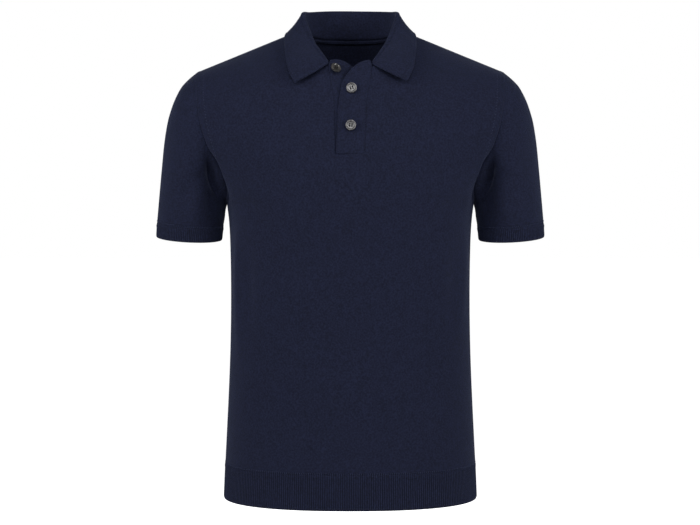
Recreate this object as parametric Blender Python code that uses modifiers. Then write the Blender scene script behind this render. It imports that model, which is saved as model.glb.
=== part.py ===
"""A short-sleeved knitted polo shirt, filled out as if worn, with nobody in it.

Metres, +Z up. The origin is in the middle of the neck, level with the top of the shoulder seams.
The front faces -Y and the wearer's left is +X.

Every cloth piece is a wall with its own thickness. The body, sleeves, cuffs and ribs take their
faces from one welded skin, so that neighbours meet edge to edge, a seam gap apart.
"""

import math
from collections import namedtuple

import bmesh
import bpy
import numpy as np
from mathutils import Vector

# Driving sizes
SEAM_GAP = 0.0004
KNIT_WALL = 0.0018
RIB_WALL = 0.0022
COLLAR_WALL = 0.0020
PLACKET_WALL = 0.0019
NECK_BAND_WALL = 0.0010
NECK_BAND_HEIGHT = 0.0046
NECK_BAND_INSET = 0.0006
RING_POWER = 2.3
PANEL_COLUMNS = 8
SLIT_HALF_WIDTH = 0.0199
SLIT_BOTTOM = -0.1795
RIB_TOP = -0.628
HEM = -0.680
FOLD_RADIUS = 0.0032
BUTTON_RADIUS = 0.0073
BUTTON_THICKNESS = 0.0026
BUTTON_LIFT = 0.0009
BUTTON_SIDES = 24
HOLE_RADIUS = 0.0009
HOLE_OFFSET = 0.0016
HOLE_SIDES = 10
PIN_LENGTH = 0.010

Ring = namedtuple("Ring", "z half_width front back")
BODY_RINGS = (
    Ring(HEM, 0.1849, 0.1140, 0.1080),
    Ring(-0.654, 0.1837, 0.1135, 0.1072),
    Ring(RIB_TOP, 0.1823, 0.1128, 0.1060),
    Ring(-0.580, 0.1797, 0.1118, 0.1020),
    Ring(-0.530, 0.1771, 0.1111, 0.0980),
    Ring(-0.480, 0.1749, 0.1110, 0.0945),
    Ring(-0.430, 0.1735, 0.1118, 0.0920),
    Ring(-0.385, 0.1730, 0.1135, 0.0925),
    Ring(-0.340, 0.1732, 0.1160, 0.0950),
    Ring(-0.300, 0.1741, 0.1188, 0.0985),
    Ring(-0.272, 0.1758, 0.1207, 0.1010),
)

# Rows of the front and back above the underarm. The inner end lies on the slit, the neckline or the
# centre back, and the outer end on the armhole. turn is how far the row rounds into the side, and
# full is how far its middle stands out.
Row = namedtuple("Row", "inner outer turn full")
FRONT_ROWS = (
    Row((SLIT_HALF_WIDTH, -0.1214, -0.2525), (0.1783, 0.0000, -0.2525), 1.00, 0.000),
    Row((SLIT_HALF_WIDTH, -0.1220, -0.2350), (0.1786, -0.0235, -0.2425), 0.95, 0.000),
    Row((SLIT_HALF_WIDTH, -0.1220, -0.2160), (0.1796, -0.0390, -0.2250), 0.82, 0.000),
    Row((SLIT_HALF_WIDTH, -0.1208, -0.1980), (0.1840, -0.0500, -0.2070), 0.65, 0.000),
    Row((SLIT_HALF_WIDTH, -0.1188, SLIT_BOTTOM), (0.1925, -0.0572, -0.1890), 0.48, 0.001),
    Row((0.0203, -0.1145, -0.1560), (0.2010, -0.0618, -0.1710), 0.32, 0.002),
    Row((0.0211, -0.1090, -0.1320), (0.2073, -0.0632, -0.1530), 0.20, 0.003),
    Row((0.0222, -0.1035, -0.1080), (0.2124, -0.0617, -0.1350), 0.12, 0.004),
    Row((0.0262, -0.0972, -0.0830), (0.2157, -0.0570, -0.1180), 0.05, 0.005),
    Row((0.0305, -0.0880, -0.0590), (0.2183, -0.0490, -0.1010), 0.00, 0.006),
    Row((0.0500, -0.0610, -0.0420), (0.2204, -0.0370, -0.0850), 0.00, 0.005),
    Row((0.0645, -0.0290, -0.0205), (0.2215, -0.0185, -0.0720), 0.00, 0.003),
    Row((0.0700, 0.0050, -0.0013), (0.2216, 0.0045, -0.0630), 0.00, 0.000),
)
BACK_ROWS = (
    Row((0.0000, 0.1025, -0.2525), (0.1783, 0.0000, -0.2525), 1.00, 0.000),
    Row((0.0000, 0.1045, -0.2270), (0.1790, 0.0250, -0.2425), 0.95, 0.000),
    Row((0.0000, 0.1065, -0.2000), (0.1810, 0.0420, -0.2250), 0.80, 0.000),
    Row((0.0000, 0.1070, -0.1730), (0.1870, 0.0540, -0.2070), 0.62, 0.001),
    Row((0.0000, 0.1055, -0.1460), (0.1960, 0.0620, -0.1890), 0.45, 0.003),
    Row((0.0000, 0.1015, -0.1190), (0.2040, 0.0670, -0.1710), 0.30, 0.005),
    Row((0.0000, 0.0940, -0.0920), (0.2100, 0.0685, -0.1530), 0.18, 0.008),
    Row((0.0000, 0.0840, -0.0650), (0.2142, 0.0670, -0.1350), 0.08, 0.010),
    Row((0.0000, 0.0715, -0.0380), (0.2172, 0.0620, -0.1180), 0.00, 0.012),
    Row((0.0000, 0.0580, -0.0137), (0.2193, 0.0545, -0.1010), 0.00, 0.012),
    Row((0.0310, 0.0550, -0.0132), (0.2208, 0.0430, -0.0850), 0.00, 0.010),
    Row((0.0580, 0.0380, -0.0100), (0.2216, 0.0250, -0.0720), 0.00, 0.006),
    Row((0.0700, 0.0050, -0.0013), (0.2216, 0.0045, -0.0630), 0.00, 0.000),
)
SLIT_ROW = 4
NECK_ROW = 9

# Rings of a sleeve from the armhole to the edge of the cuff: the outermost and innermost points,
# half the depth from front to back, how much lower the front is than the middle, and how much of
# the armhole's own shape is left.
SleeveRing = namedtuple("SleeveRing", "outer_x outer_z inner_x inner_z half_depth drop armhole")
SLEEVE_RINGS = (
    SleeveRing(0.2216, -0.0630, 0.1783, -0.2525, 0.0640, 0.0000, 1.00),
    SleeveRing(0.2334, -0.0731, 0.1789, -0.2540, 0.0655, 0.0000, 0.82),
    SleeveRing(0.2440, -0.0850, 0.1795, -0.2558, 0.0662, 0.0000, 0.62),
    SleeveRing(0.2534, -0.1024, 0.1800, -0.2580, 0.0660, 0.0002, 0.44),
    SleeveRing(0.2598, -0.1200, 0.1805, -0.2606, 0.0650, 0.0004, 0.30),
    SleeveRing(0.2643, -0.1373, 0.1809, -0.2634, 0.0638, 0.0008, 0.20),
    SleeveRing(0.2686, -0.1640, 0.1814, -0.2672, 0.0618, 0.0012, 0.11),
    SleeveRing(0.2720, -0.1960, 0.1818, -0.2717, 0.0594, 0.0018, 0.05),
    SleeveRing(0.2756, -0.2330, 0.1827, -0.2770, 0.0564, 0.0024, 0.01),
    SleeveRing(0.2797, -0.2765, 0.1841, -0.2850, 0.0530, 0.0030, 0.00),
    SleeveRing(0.2806, -0.2880, 0.1850, -0.2950, 0.0524, 0.0032, 0.00),
    SleeveRing(0.2814, -0.3000, 0.1861, -0.3058, 0.0518, 0.0035, 0.00),
)
CUFF_START = 9

# Stations of the collar from the centre back to a front end: the neckline that it stands on, the
# top of its fold, the free edge of its fall, and how far the fall swells between the two.
Station = namedtuple("Station", "neck fold edge swell")
COLLAR = (
    Station((0.0000, 0.0580, -0.0137), (0.0000, 0.0575, 0.0292), (0.0000, 0.0800, -0.0240), 0.0035),
    Station((0.0310, 0.0550, -0.0132), (0.0345, 0.0505, 0.0284), (0.0440, 0.0700, -0.0225), 0.0030),
    Station((0.0580, 0.0380, -0.0100), (0.0584, 0.0310, 0.0259), (0.0780, 0.0420, -0.0140), 0.0014),
    Station((0.0700, 0.0050, -0.0013), (0.0682, 0.0020, 0.0224), (0.0928, 0.0020, -0.0073), -0.0014),
    Station((0.0645, -0.0290, -0.0205), (0.0622, -0.0210, 0.0035), (0.0930, -0.0380, -0.0262), 0.0012),
    Station((0.0550, -0.0525, -0.0370), (0.0520, -0.0470, -0.0205), (0.0900, -0.0670, -0.0475), 0.0034),
    Station((0.0430, -0.0706, -0.0480), (0.0405, -0.0680, -0.0375), (0.0852, -0.0870, -0.0648), 0.0035),
    Station((0.0330, -0.0835, -0.0562), (0.0308, -0.0838, -0.0512), (0.0772, -0.1010, -0.0802), 0.0035),
)
COLLAR_STEPS = 2
FOLD_ANGLES = (135, 90, 45, 0)
FALL_PARTS = (0.25, 0.5, 0.75, 1.0)
FOOT_INSET = 0.0028
FOOT_RISE = 0.0004
NECK_CENTRE = (0.0, -0.008, 0.0)
END_BOW = 0.0045
LEFT_TIP_SHIFT = (0.0014, 0.0, 0.0024)
TIP_SHIFT_POWER = 3

# Rows of the two plackets, from the foot up: the edge that is sewn to the slit and the free edge.
Strip = namedtuple("Strip", "sewn free")
PLACKET_UPPER = (
    Strip((0.0196, -0.1189, -0.1792), (-0.0181, -0.1213, -0.1792)),
    Strip((0.0200, -0.1148, -0.1570), (-0.0173, -0.1172, -0.1570)),
    Strip((0.0208, -0.1093, -0.1330), (-0.0163, -0.1123, -0.1330)),
    Strip((0.0218, -0.1040, -0.1100), (-0.0153, -0.1070, -0.1120)),
    Strip((0.0258, -0.0975, -0.0840), (-0.0128, -0.1014, -0.0930)),
    Strip((0.0296, -0.0890, -0.0600), (-0.0096, -0.0982, -0.0800)),
    Strip((0.0280, -0.0868, -0.0532), (-0.0083, -0.0964, -0.0768)),
)
PLACKET_UNDER = (
    Strip((-0.0196, -0.1189, -0.1792), (0.0165, -0.1165, -0.1792)),
    Strip((-0.0200, -0.1148, -0.1570), (0.0160, -0.1122, -0.1570)),
    Strip((-0.0208, -0.1093, -0.1330), (0.0155, -0.1066, -0.1330)),
    Strip((-0.0218, -0.1040, -0.1100), (0.0150, -0.1005, -0.1110)),
    Strip((-0.0258, -0.0975, -0.0840), (0.0135, -0.0925, -0.0880)),
    Strip((-0.0296, -0.0890, -0.0600), (0.0118, -0.0845, -0.0730)),
    Strip((-0.0280, -0.0868, -0.0532), (0.0110, -0.0830, -0.0690)),
)
STRIP_COLUMNS = 4
PLACKET_BOW = 0.0082
BOW_LEAN = 0.38
BOW_START = 6
BOW_ROUND = 0.8

# Buttons: the place on the placket's face, and the way that the face looks.
Button = namedtuple("Button", "name place looks")
BUTTONS = (
    Button("button_bottom", (0.0008, -0.1147, -0.1412), (-0.06, -1.00, 0.24)),
    Button("button_middle", (0.0017, -0.1002, -0.0895), (-0.03, -1.00, 0.26)),
    Button("button_top", (-0.0208, -0.0913, -0.0622), (0.46, -0.74, 0.62)),
)

Look = namedtuple("Look", "color roughness")
NAVY = Look((0.016, 0.019, 0.040), 0.90)
NAVY_RIB = Look((0.013, 0.015, 0.031), 0.92)
HORN = Look((0.110, 0.110, 0.115), 0.35)


def remove_everything():
    for obj in list(bpy.data.objects):
        bpy.data.objects.remove(obj, do_unlink=True)


def unit(vector):
    return vector / np.maximum(np.linalg.norm(vector, axis=-1, keepdims=True), 1e-12)


def smooth_through(points, steps):
    """A smooth curve through the points, with the given number of steps between neighbours."""
    points = np.asarray(points, float)
    slopes = np.gradient(points, axis=0)
    curve = []
    for low in range(len(points) - 1):
        for step in range(steps):
            t = step / steps
            curve.append(
                (1 + 2 * t) * (1 - t) ** 2 * points[low]
                + t * (1 - t) ** 2 * slopes[low]
                + t * t * (3 - 2 * t) * points[low + 1]
                + t * t * (t - 1) * slopes[low + 1]
            )
    curve.append(points[-1])
    return np.array(curve)


def row_points(row):
    """One row of a half panel, from its inner to its outer end."""
    inner, outer = np.array(row.inner), np.array(row.outer)
    start = inner[0] / outer[0]
    part = np.sin(np.linspace(0, math.pi / 2, PANEL_COLUMNS + 1))
    across = start + (1 - start) * part
    rest = 1 - np.minimum(across, 1) ** RING_POWER
    profile = row.turn * rest ** (1 / RING_POWER) + (1 - row.turn) * rest
    depth = outer[1] + (inner[1] - outer[1]) * profile / profile[0]
    depth += math.copysign(row.full, inner[1]) * np.sin(math.pi * part)
    return np.stack([across * outer[0], depth, inner[2] + (outer[2] - inner[2]) * part], axis=1)


def ring_row(ring, side):
    """A level row below the underarm: side is -1 for the front and 1 for the back."""
    half_slit = SLIT_HALF_WIDTH if side < 0 else 0.0
    reach = ring.front if side < 0 else ring.back
    inset = (1 - (half_slit / ring.half_width) ** RING_POWER) ** (1 / RING_POWER)
    return Row((half_slit, side * reach * inset, ring.z), (ring.half_width, 0.0, ring.z), 1.0, 0.0)


def panel_grid(side):
    """Rows of a whole panel from the hem up, each from the wearer's right to the left."""
    rows = [ring_row(ring, side) for ring in BODY_RINGS] + list(FRONT_ROWS if side < 0 else BACK_ROWS)
    grid = []
    for row in rows:
        half = row_points(row)
        mirrored = half[::-1] * (-1, 1, 1)
        middle = [half[:1] * (0, 1, 1)] if side < 0 else []
        grid.append(np.concatenate([mirrored, *middle, half]))
    return np.array(grid)


def armhole_points(front, back):
    """The armhole of the wearer's left, from the underarm up the front and down the back."""
    first = len(BODY_RINGS)
    return np.concatenate([front[first:, -1], back[first + 1 : -1, -1][::-1]])


def sleeve_grid(armhole):
    first = SLEEVE_RINGS[0]
    middle = (first.outer_z + first.inner_z) / 2
    height = (first.outer_z - first.inner_z) / 2
    upward = np.clip((armhole[:, 2] - middle) / height, -1, 1)
    angle = np.arccos(upward)
    front = len(FRONT_ROWS)
    turn = np.where(np.arange(len(armhole)) < front, angle, -angle)

    def ellipse(ring):
        outer = np.array((ring.outer_x, 0.0, ring.outer_z))
        inner = np.array((ring.inner_x, 0.0, ring.inner_z))
        deep = np.array((0.0, -ring.half_depth, -ring.drop))
        return (
            (outer + inner) / 2
            + np.cos(turn)[:, None] * (outer - inner) / 2
            + np.sin(turn)[:, None] * deep
        )

    own_shape = armhole - ellipse(first)
    return np.array([ellipse(ring) + ring.armhole * own_shape for ring in SLEEVE_RINGS])


class Skin:
    """The welded outer surface of the garment, with the faces of each cut piece."""

    def __init__(self):
        self.points = []
        self.known = {}
        self.pieces = {}

    def corner(self, point):
        key = tuple(np.round(point, 5))
        if key not in self.known:
            self.known[key] = len(self.points)
            self.points.append(np.array(point, float))
        return self.known[key]

    def add(self, piece, grid, closed=False, flip=False, left_out=()):
        corners = np.array([[self.corner(point) for point in row] for row in grid])
        if closed:
            corners = np.concatenate([corners, corners[:, :1]], axis=1)
        faces = self.pieces.setdefault(piece, [])
        for row in range(corners.shape[0] - 1):
            for column in range(corners.shape[1] - 1):
                if (row, column) in left_out:
                    continue
                face = [
                    corners[row, column],
                    corners[row, column + 1],
                    corners[row + 1, column + 1],
                    corners[row + 1, column],
                ]
                faces.append(face[::-1] if flip else face)

    def normals(self):
        points = np.array(self.points)
        normals = np.zeros_like(points)
        for faces in self.pieces.values():
            for face in faces:
                a, b, c, d = points[face]
                normals[face] += np.cross(c - a, d - b)
        return unit(normals)


def wall_mesh(name, points, faces, normals, wall, gap):
    """A closed wall: the faces, the same faces moved in by the wall, and a rim between them.

    Open edges are first drawn back by the gap, along the surface.
    """
    used = sorted({corner for face in faces for corner in face})
    place = {corner: index for index, corner in enumerate(used)}
    faces = [[place[corner] for corner in face] for face in faces]
    outer = np.array([points[corner] for corner in used])
    inward = -np.array([normals[corner] for corner in used])
    sides = {}
    for face in faces:
        for start, end in zip(face, face[1:] + face[:1]):
            sides[start, end] = face
    open_sides = [side for side in sides if side[::-1] not in sides]
    pull = np.zeros_like(outer)
    for start, end in open_sides:
        along = unit(outer[end] - outer[start])
        aside = np.cross(-inward[start] - inward[end], along)
        pull[start] += unit(aside)
        pull[end] += unit(aside)
    drawn = outer.copy()
    edge = sorted({corner for side in open_sides for corner in side})
    drawn[edge] += gap * unit(pull[edge])
    inner = drawn + wall * inward
    count = len(drawn)
    rim = [[end, start, start + count, end + count] for start, end in open_sides]
    shell = [list(face) for face in faces]
    shell += [[corner + count for corner in face[::-1]] for face in faces]
    mesh = bpy.data.meshes.new(name)
    mesh.from_pydata(np.concatenate([drawn, inner]).tolist(), [], shell + rim)
    return mesh


def grid_wall(name, grid, wall, flip):
    """A wall from a plain grid of points, with no neighbours in the skin."""
    skin = Skin()
    skin.add(name, grid, flip=flip)
    return wall_mesh(name, skin.points, skin.pieces[name], skin.normals(), wall, 0.0)


def material(name, look):
    finish = bpy.data.materials.get(name)
    if finish is None:
        finish = bpy.data.materials.new(name)
        finish.use_nodes = True
        shader = finish.node_tree.nodes["Principled BSDF"]
        shader.inputs["Base Color"].default_value = (*look.color, 1.0)
        shader.inputs["Roughness"].default_value = look.roughness
        shader.inputs["Metallic"].default_value = 0.0
    return finish


def place(collection, name, mesh, finish):
    obj = bpy.data.objects.new(name, mesh)
    collection.objects.link(obj)
    mesh.materials.append(finish)
    return obj


def body_skin():
    """Front, back, sleeves, cuffs and hem ribs in one skin."""
    skin = Skin()
    front, back = panel_grid(-1), panel_grid(1)
    rib_rows = sum(ring.z <= RIB_TOP for ring in BODY_RINGS)
    slit_top = len(BODY_RINGS) + SLIT_ROW - rib_rows + 1
    middle = PANEL_COLUMNS
    rows = range(len(front))
    slit = {(row, column) for row in rows if row >= slit_top for column in (middle, middle + 1)}
    neck = {(row, middle) for row in rows}
    skin.add("hem_rib_front", front[:rib_rows])
    skin.add("hem_rib_back", back[:rib_rows], flip=True, left_out=neck)
    skin.add("front", front[rib_rows - 1 :], left_out=slit)
    skin.add("back", back[rib_rows - 1 :], flip=True, left_out=neck)
    armhole = armhole_points(front, back)
    left = sleeve_grid(armhole)
    for side, mirror in (("left", 1), ("right", -1)):
        grid = left * (mirror, 1, 1)
        skin.add(f"sleeve_{side}", grid[: CUFF_START + 1], closed=True, flip=mirror > 0)
        skin.add(f"cuff_{side}", grid[CUFF_START:], closed=True, flip=mirror > 0)
    return skin, back


def collar_grid():
    """Sections of the collar from the wearer's right front end round the back to the left."""
    table = np.array([[station.neck, station.fold, station.edge] for station in COLLAR])
    half = smooth_through(table, COLLAR_STEPS)
    swells = smooth_through([[station.swell] for station in COLLAR], COLLAR_STEPS)[:, 0]
    left = half.copy()
    toward_tip = np.linspace(0, 1, len(half)) ** TIP_SHIFT_POWER
    left[:, 2] += toward_tip[:, None] * LEFT_TIP_SHIFT
    whole = np.concatenate([half[::-1] * (-1, 1, 1), left[1:]])
    swells = np.concatenate([swells[::-1], swells[1:]])
    up = np.array((0.0, 0.0, 1.0))
    sections = []
    for index, (neck, fold, edge) in enumerate(whole):
        out = unit((fold - NECK_CENTRE) * (1, 1, 0))
        foot = neck - out * FOOT_INSET + up * FOOT_RISE
        shoulder = fold - (out + up) * FOLD_RADIUS
        turn = fold - up * FOLD_RADIUS
        section = [foot, (foot + shoulder) / 2, shoulder]
        for angle in FOLD_ANGLES:
            sweep = math.radians(angle)
            section.append(turn + FOLD_RADIUS * (math.cos(sweep) * out + math.sin(sweep) * up))
        start = section[-1]
        across = unit(np.cross(np.cross(out, up), edge - start))
        crown = across if across[2] > 0 else -across
        at_end = index in (0, len(whole) - 1)
        for part in FALL_PARTS:
            swell = math.sin(math.pi * part)
            point = start + (edge - start) * part + crown * swells[index] * swell
            if at_end:
                point = point - up * END_BOW * swell
            section.append(point)
        sections.append(section)
    return np.array(sections)


def placket_grid(table):
    """Rows of a placket from the foot up: its top edge rises in a bow between its two corners."""
    rows = []
    for index, strip in enumerate(table):
        part = np.linspace(0, 1, STRIP_COLUMNS + 1)
        sewn, free = np.array(strip.sewn), np.array(strip.free)
        row = sewn + part[:, None] * (free - sewn)
        rise = PLACKET_BOW * (index / (len(table) - 1)) ** BOW_START
        bow = np.maximum(np.sin(math.pi * part), 0) ** BOW_ROUND
        row += (rise * bow)[:, None] * (0.0, BOW_LEAN, 1.0)
        rows.append(row)
    return np.array(rows)


def neck_band_grid(skin, normals, back):
    """A narrow band on the inside of the back, just below the collar seam."""
    middle = PANEL_COLUMNS
    first = len(BODY_RINGS) + NECK_ROW
    rows = list(range(len(back) - 1, first - 1, -1))
    line = [(row, middle, middle - 1) for row in rows]
    line += [(row, middle + 1, middle + 2) for row in rows[-2::-1]]
    lift = KNIT_WALL + 2 * SEAM_GAP
    band = []
    for row, column, beside in line:
        start = back[row, column]
        toward = back[row - 1, column] if row == first else back[row, beside]
        reach = np.linalg.norm(toward - start)
        near, far = (normals[skin.corner(point)] for point in (start, toward))
        edges = np.array((NECK_BAND_INSET, NECK_BAND_HEIGHT))[:, None] / reach
        band.append(start + edges * (toward - start) - lift * (near + edges * (far - near)))
    return np.array(band)


def turned_button(collection, button, finish):
    """A rimmed disc with four holes."""
    half = BUTTON_THICKNESS / 2
    profile = (
        (0.0, half * 0.35),
        (BUTTON_RADIUS * 0.62, half * 0.35),
        (BUTTON_RADIUS * 0.76, half),
        (BUTTON_RADIUS * 0.92, half),
        (BUTTON_RADIUS, half * 0.3),
        (BUTTON_RADIUS * 0.97, -half * 0.6),
        (BUTTON_RADIUS * 0.80, -half),
        (0.0, -half),
    )
    mesh = bpy.data.meshes.new(button.name)
    points = [(radius, 0.0, height) for radius, height in profile]
    mesh.from_pydata(points, [(low, low + 1) for low in range(len(points) - 1)], [])
    obj = place(collection, button.name, mesh, finish)
    screw = obj.modifiers.new("Turn", "SCREW")
    screw.steps = screw.render_steps = BUTTON_SIDES
    screw.use_merge_vertices = True
    screw.merge_threshold = 0.00002
    looks = Vector(button.looks).normalized()
    obj.location = Vector(button.place) + looks * (half + BUTTON_LIFT)
    obj.rotation_mode = "QUATERNION"
    obj.rotation_quaternion = looks.to_track_quat("Z", "Y")
    return obj


def hole_cutters(cutters, obj, name):
    """Four pins in one mesh, placed as the button is."""
    mesh = bpy.data.meshes.new(name)
    shape = bmesh.new()
    for side_x in (-1, 1):
        for side_y in (-1, 1):
            made = bmesh.ops.create_cone(
                shape, cap_ends=True, segments=HOLE_SIDES, radius1=HOLE_RADIUS, radius2=HOLE_RADIUS, depth=PIN_LENGTH
            )
            bmesh.ops.translate(
                shape, verts=made["verts"], vec=(side_x * HOLE_OFFSET, side_y * HOLE_OFFSET, 0.0)
            )
    shape.to_mesh(mesh)
    shape.free()
    pins = bpy.data.objects.new(name, mesh)
    cutters.objects.link(pins)
    pins.location = obj.location
    pins.rotation_mode = "QUATERNION"
    pins.rotation_quaternion = obj.rotation_quaternion
    pins.hide_render = True
    pins.display_type = "WIRE"
    return pins


def main():
    remove_everything()
    shirt = bpy.data.collections.new("polo_shirt")
    cutters = bpy.data.collections.new("cutters")
    for collection in (shirt, cutters):
        bpy.context.scene.collection.children.link(collection)
    knit = material("navy_knit", NAVY)
    rib = material("navy_rib", NAVY_RIB)
    horn = material("horn", HORN)

    skin, back = body_skin()
    normals = skin.normals()
    for name, faces in skin.pieces.items():
        ribbed = name.startswith(("cuff", "hem"))
        wall = RIB_WALL if ribbed else KNIT_WALL
        mesh = wall_mesh(name, skin.points, faces, normals, wall, SEAM_GAP / 2)
        place(shirt, name, mesh, rib if ribbed else knit)

    place(shirt, "collar", grid_wall("collar", collar_grid(), COLLAR_WALL, flip=True), knit)
    band = neck_band_grid(skin, normals, back)
    place(shirt, "neck_band", grid_wall("neck_band", band, NECK_BAND_WALL, flip=True), knit)
    for name, table, flip in (
        ("placket_upper", PLACKET_UPPER, True),
        ("placket_under", PLACKET_UNDER, False),
    ):
        place(shirt, name, grid_wall(name, placket_grid(table), PLACKET_WALL, flip=flip), knit)

    for button in BUTTONS:
        obj = turned_button(shirt, button, horn)
        holes = obj.modifiers.new("Holes", "BOOLEAN")
        holes.operation = "DIFFERENCE"
        holes.object = hole_cutters(cutters, obj, f"{button.name}_holes")


main()
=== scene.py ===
"""The looks of a short-sleeved knitted polo shirt, filled out as if worn, with nobody in it.

Metres, +Z up, front facing -Y, the wearer's left at +X. Every cloth piece is a thin closed wall
laid on the form of its solid: the same tables and the same curves, followed in much finer steps.
"""

import math
from collections import namedtuple

import bpy
import numpy as np
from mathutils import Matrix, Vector


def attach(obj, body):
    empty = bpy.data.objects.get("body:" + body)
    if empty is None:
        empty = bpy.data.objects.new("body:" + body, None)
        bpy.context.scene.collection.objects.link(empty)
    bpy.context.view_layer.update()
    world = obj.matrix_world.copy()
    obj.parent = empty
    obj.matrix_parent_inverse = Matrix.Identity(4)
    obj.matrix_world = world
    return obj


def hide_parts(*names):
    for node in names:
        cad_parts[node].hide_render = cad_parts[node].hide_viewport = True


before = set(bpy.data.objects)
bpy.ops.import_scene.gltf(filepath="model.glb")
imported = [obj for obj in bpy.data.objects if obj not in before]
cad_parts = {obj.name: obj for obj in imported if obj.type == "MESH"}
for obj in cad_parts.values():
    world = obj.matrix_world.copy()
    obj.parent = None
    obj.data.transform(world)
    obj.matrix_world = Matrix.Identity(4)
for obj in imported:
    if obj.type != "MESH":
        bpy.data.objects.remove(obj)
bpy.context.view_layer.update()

# ---------------------------------------------------------------- form of the garment

SEAM_GAP = 0.0004
KNIT_WALL = 0.0018
RIB_WALL = 0.0022
COLLAR_WALL = 0.0020
PLACKET_WALL = 0.0019
NECK_BAND_WALL = 0.0010
NECK_BAND_HEIGHT = 0.0046
NECK_BAND_INSET = 0.0006
RING_POWER = 2.3
SLIT_HALF_WIDTH = 0.0199
SLIT_BOTTOM = -0.1795
RIB_TOP = -0.628
HEM = -0.680
FOLD_RADIUS = 0.0032

Ring = namedtuple("Ring", "z half_width front back")
BODY_RINGS = (
    Ring(HEM, 0.1849, 0.1140, 0.1080),
    Ring(-0.654, 0.1837, 0.1135, 0.1072),
    Ring(RIB_TOP, 0.1823, 0.1128, 0.1060),
    Ring(-0.580, 0.1797, 0.1118, 0.1020),
    Ring(-0.530, 0.1771, 0.1111, 0.0980),
    Ring(-0.480, 0.1749, 0.1110, 0.0945),
    Ring(-0.430, 0.1735, 0.1118, 0.0920),
    Ring(-0.385, 0.1730, 0.1135, 0.0925),
    Ring(-0.340, 0.1732, 0.1160, 0.0950),
    Ring(-0.300, 0.1741, 0.1188, 0.0985),
    Ring(-0.272, 0.1758, 0.1207, 0.1010),
)

# Rows of the front and back above the underarm. The inner end lies on the slit, the neckline or the
# centre back, and the outer end on the armhole. turn is how far the row rounds into the side, and
# full is how far its middle stands out.
Row = namedtuple("Row", "inner outer turn full")
FRONT_ROWS = (
    Row((SLIT_HALF_WIDTH, -0.1214, -0.2525), (0.1783, 0.0000, -0.2525), 1.00, 0.000),
    Row((SLIT_HALF_WIDTH, -0.1220, -0.2350), (0.1786, -0.0235, -0.2425), 0.95, 0.000),
    Row((SLIT_HALF_WIDTH, -0.1220, -0.2160), (0.1796, -0.0390, -0.2250), 0.82, 0.000),
    Row((SLIT_HALF_WIDTH, -0.1208, -0.1980), (0.1840, -0.0500, -0.2070), 0.65, 0.000),
    Row((SLIT_HALF_WIDTH, -0.1188, SLIT_BOTTOM), (0.1925, -0.0572, -0.1890), 0.48, 0.001),
    Row((0.0203, -0.1145, -0.1560), (0.2010, -0.0618, -0.1710), 0.32, 0.002),
    Row((0.0211, -0.1090, -0.1320), (0.2073, -0.0632, -0.1530), 0.20, 0.003),
    Row((0.0222, -0.1035, -0.1080), (0.2124, -0.0617, -0.1350), 0.12, 0.004),
    Row((0.0262, -0.0972, -0.0830), (0.2157, -0.0570, -0.1180), 0.05, 0.005),
    Row((0.0305, -0.0880, -0.0590), (0.2183, -0.0490, -0.1010), 0.00, 0.006),
    Row((0.0500, -0.0610, -0.0420), (0.2204, -0.0370, -0.0850), 0.00, 0.005),
    Row((0.0645, -0.0290, -0.0205), (0.2215, -0.0185, -0.0720), 0.00, 0.003),
    Row((0.0700, 0.0050, -0.0013), (0.2216, 0.0045, -0.0630), 0.00, 0.000),
)
BACK_ROWS = (
    Row((0.0000, 0.1025, -0.2525), (0.1783, 0.0000, -0.2525), 1.00, 0.000),
    Row((0.0000, 0.1045, -0.2270), (0.1790, 0.0250, -0.2425), 0.95, 0.000),
    Row((0.0000, 0.1065, -0.2000), (0.1810, 0.0420, -0.2250), 0.80, 0.000),
    Row((0.0000, 0.1070, -0.1730), (0.1870, 0.0540, -0.2070), 0.62, 0.001),
    Row((0.0000, 0.1055, -0.1460), (0.1960, 0.0620, -0.1890), 0.45, 0.003),
    Row((0.0000, 0.1015, -0.1190), (0.2040, 0.0670, -0.1710), 0.30, 0.005),
    Row((0.0000, 0.0940, -0.0920), (0.2100, 0.0685, -0.1530), 0.18, 0.008),
    Row((0.0000, 0.0840, -0.0650), (0.2142, 0.0670, -0.1350), 0.08, 0.010),
    Row((0.0000, 0.0715, -0.0380), (0.2172, 0.0620, -0.1180), 0.00, 0.012),
    Row((0.0000, 0.0580, -0.0137), (0.2193, 0.0545, -0.1010), 0.00, 0.012),
    Row((0.0310, 0.0550, -0.0132), (0.2208, 0.0430, -0.0850), 0.00, 0.010),
    Row((0.0580, 0.0380, -0.0100), (0.2216, 0.0250, -0.0720), 0.00, 0.006),
    Row((0.0700, 0.0050, -0.0013), (0.2216, 0.0045, -0.0630), 0.00, 0.000),
)
SLIT_ROW = 4
NECK_ROW = 9

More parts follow.
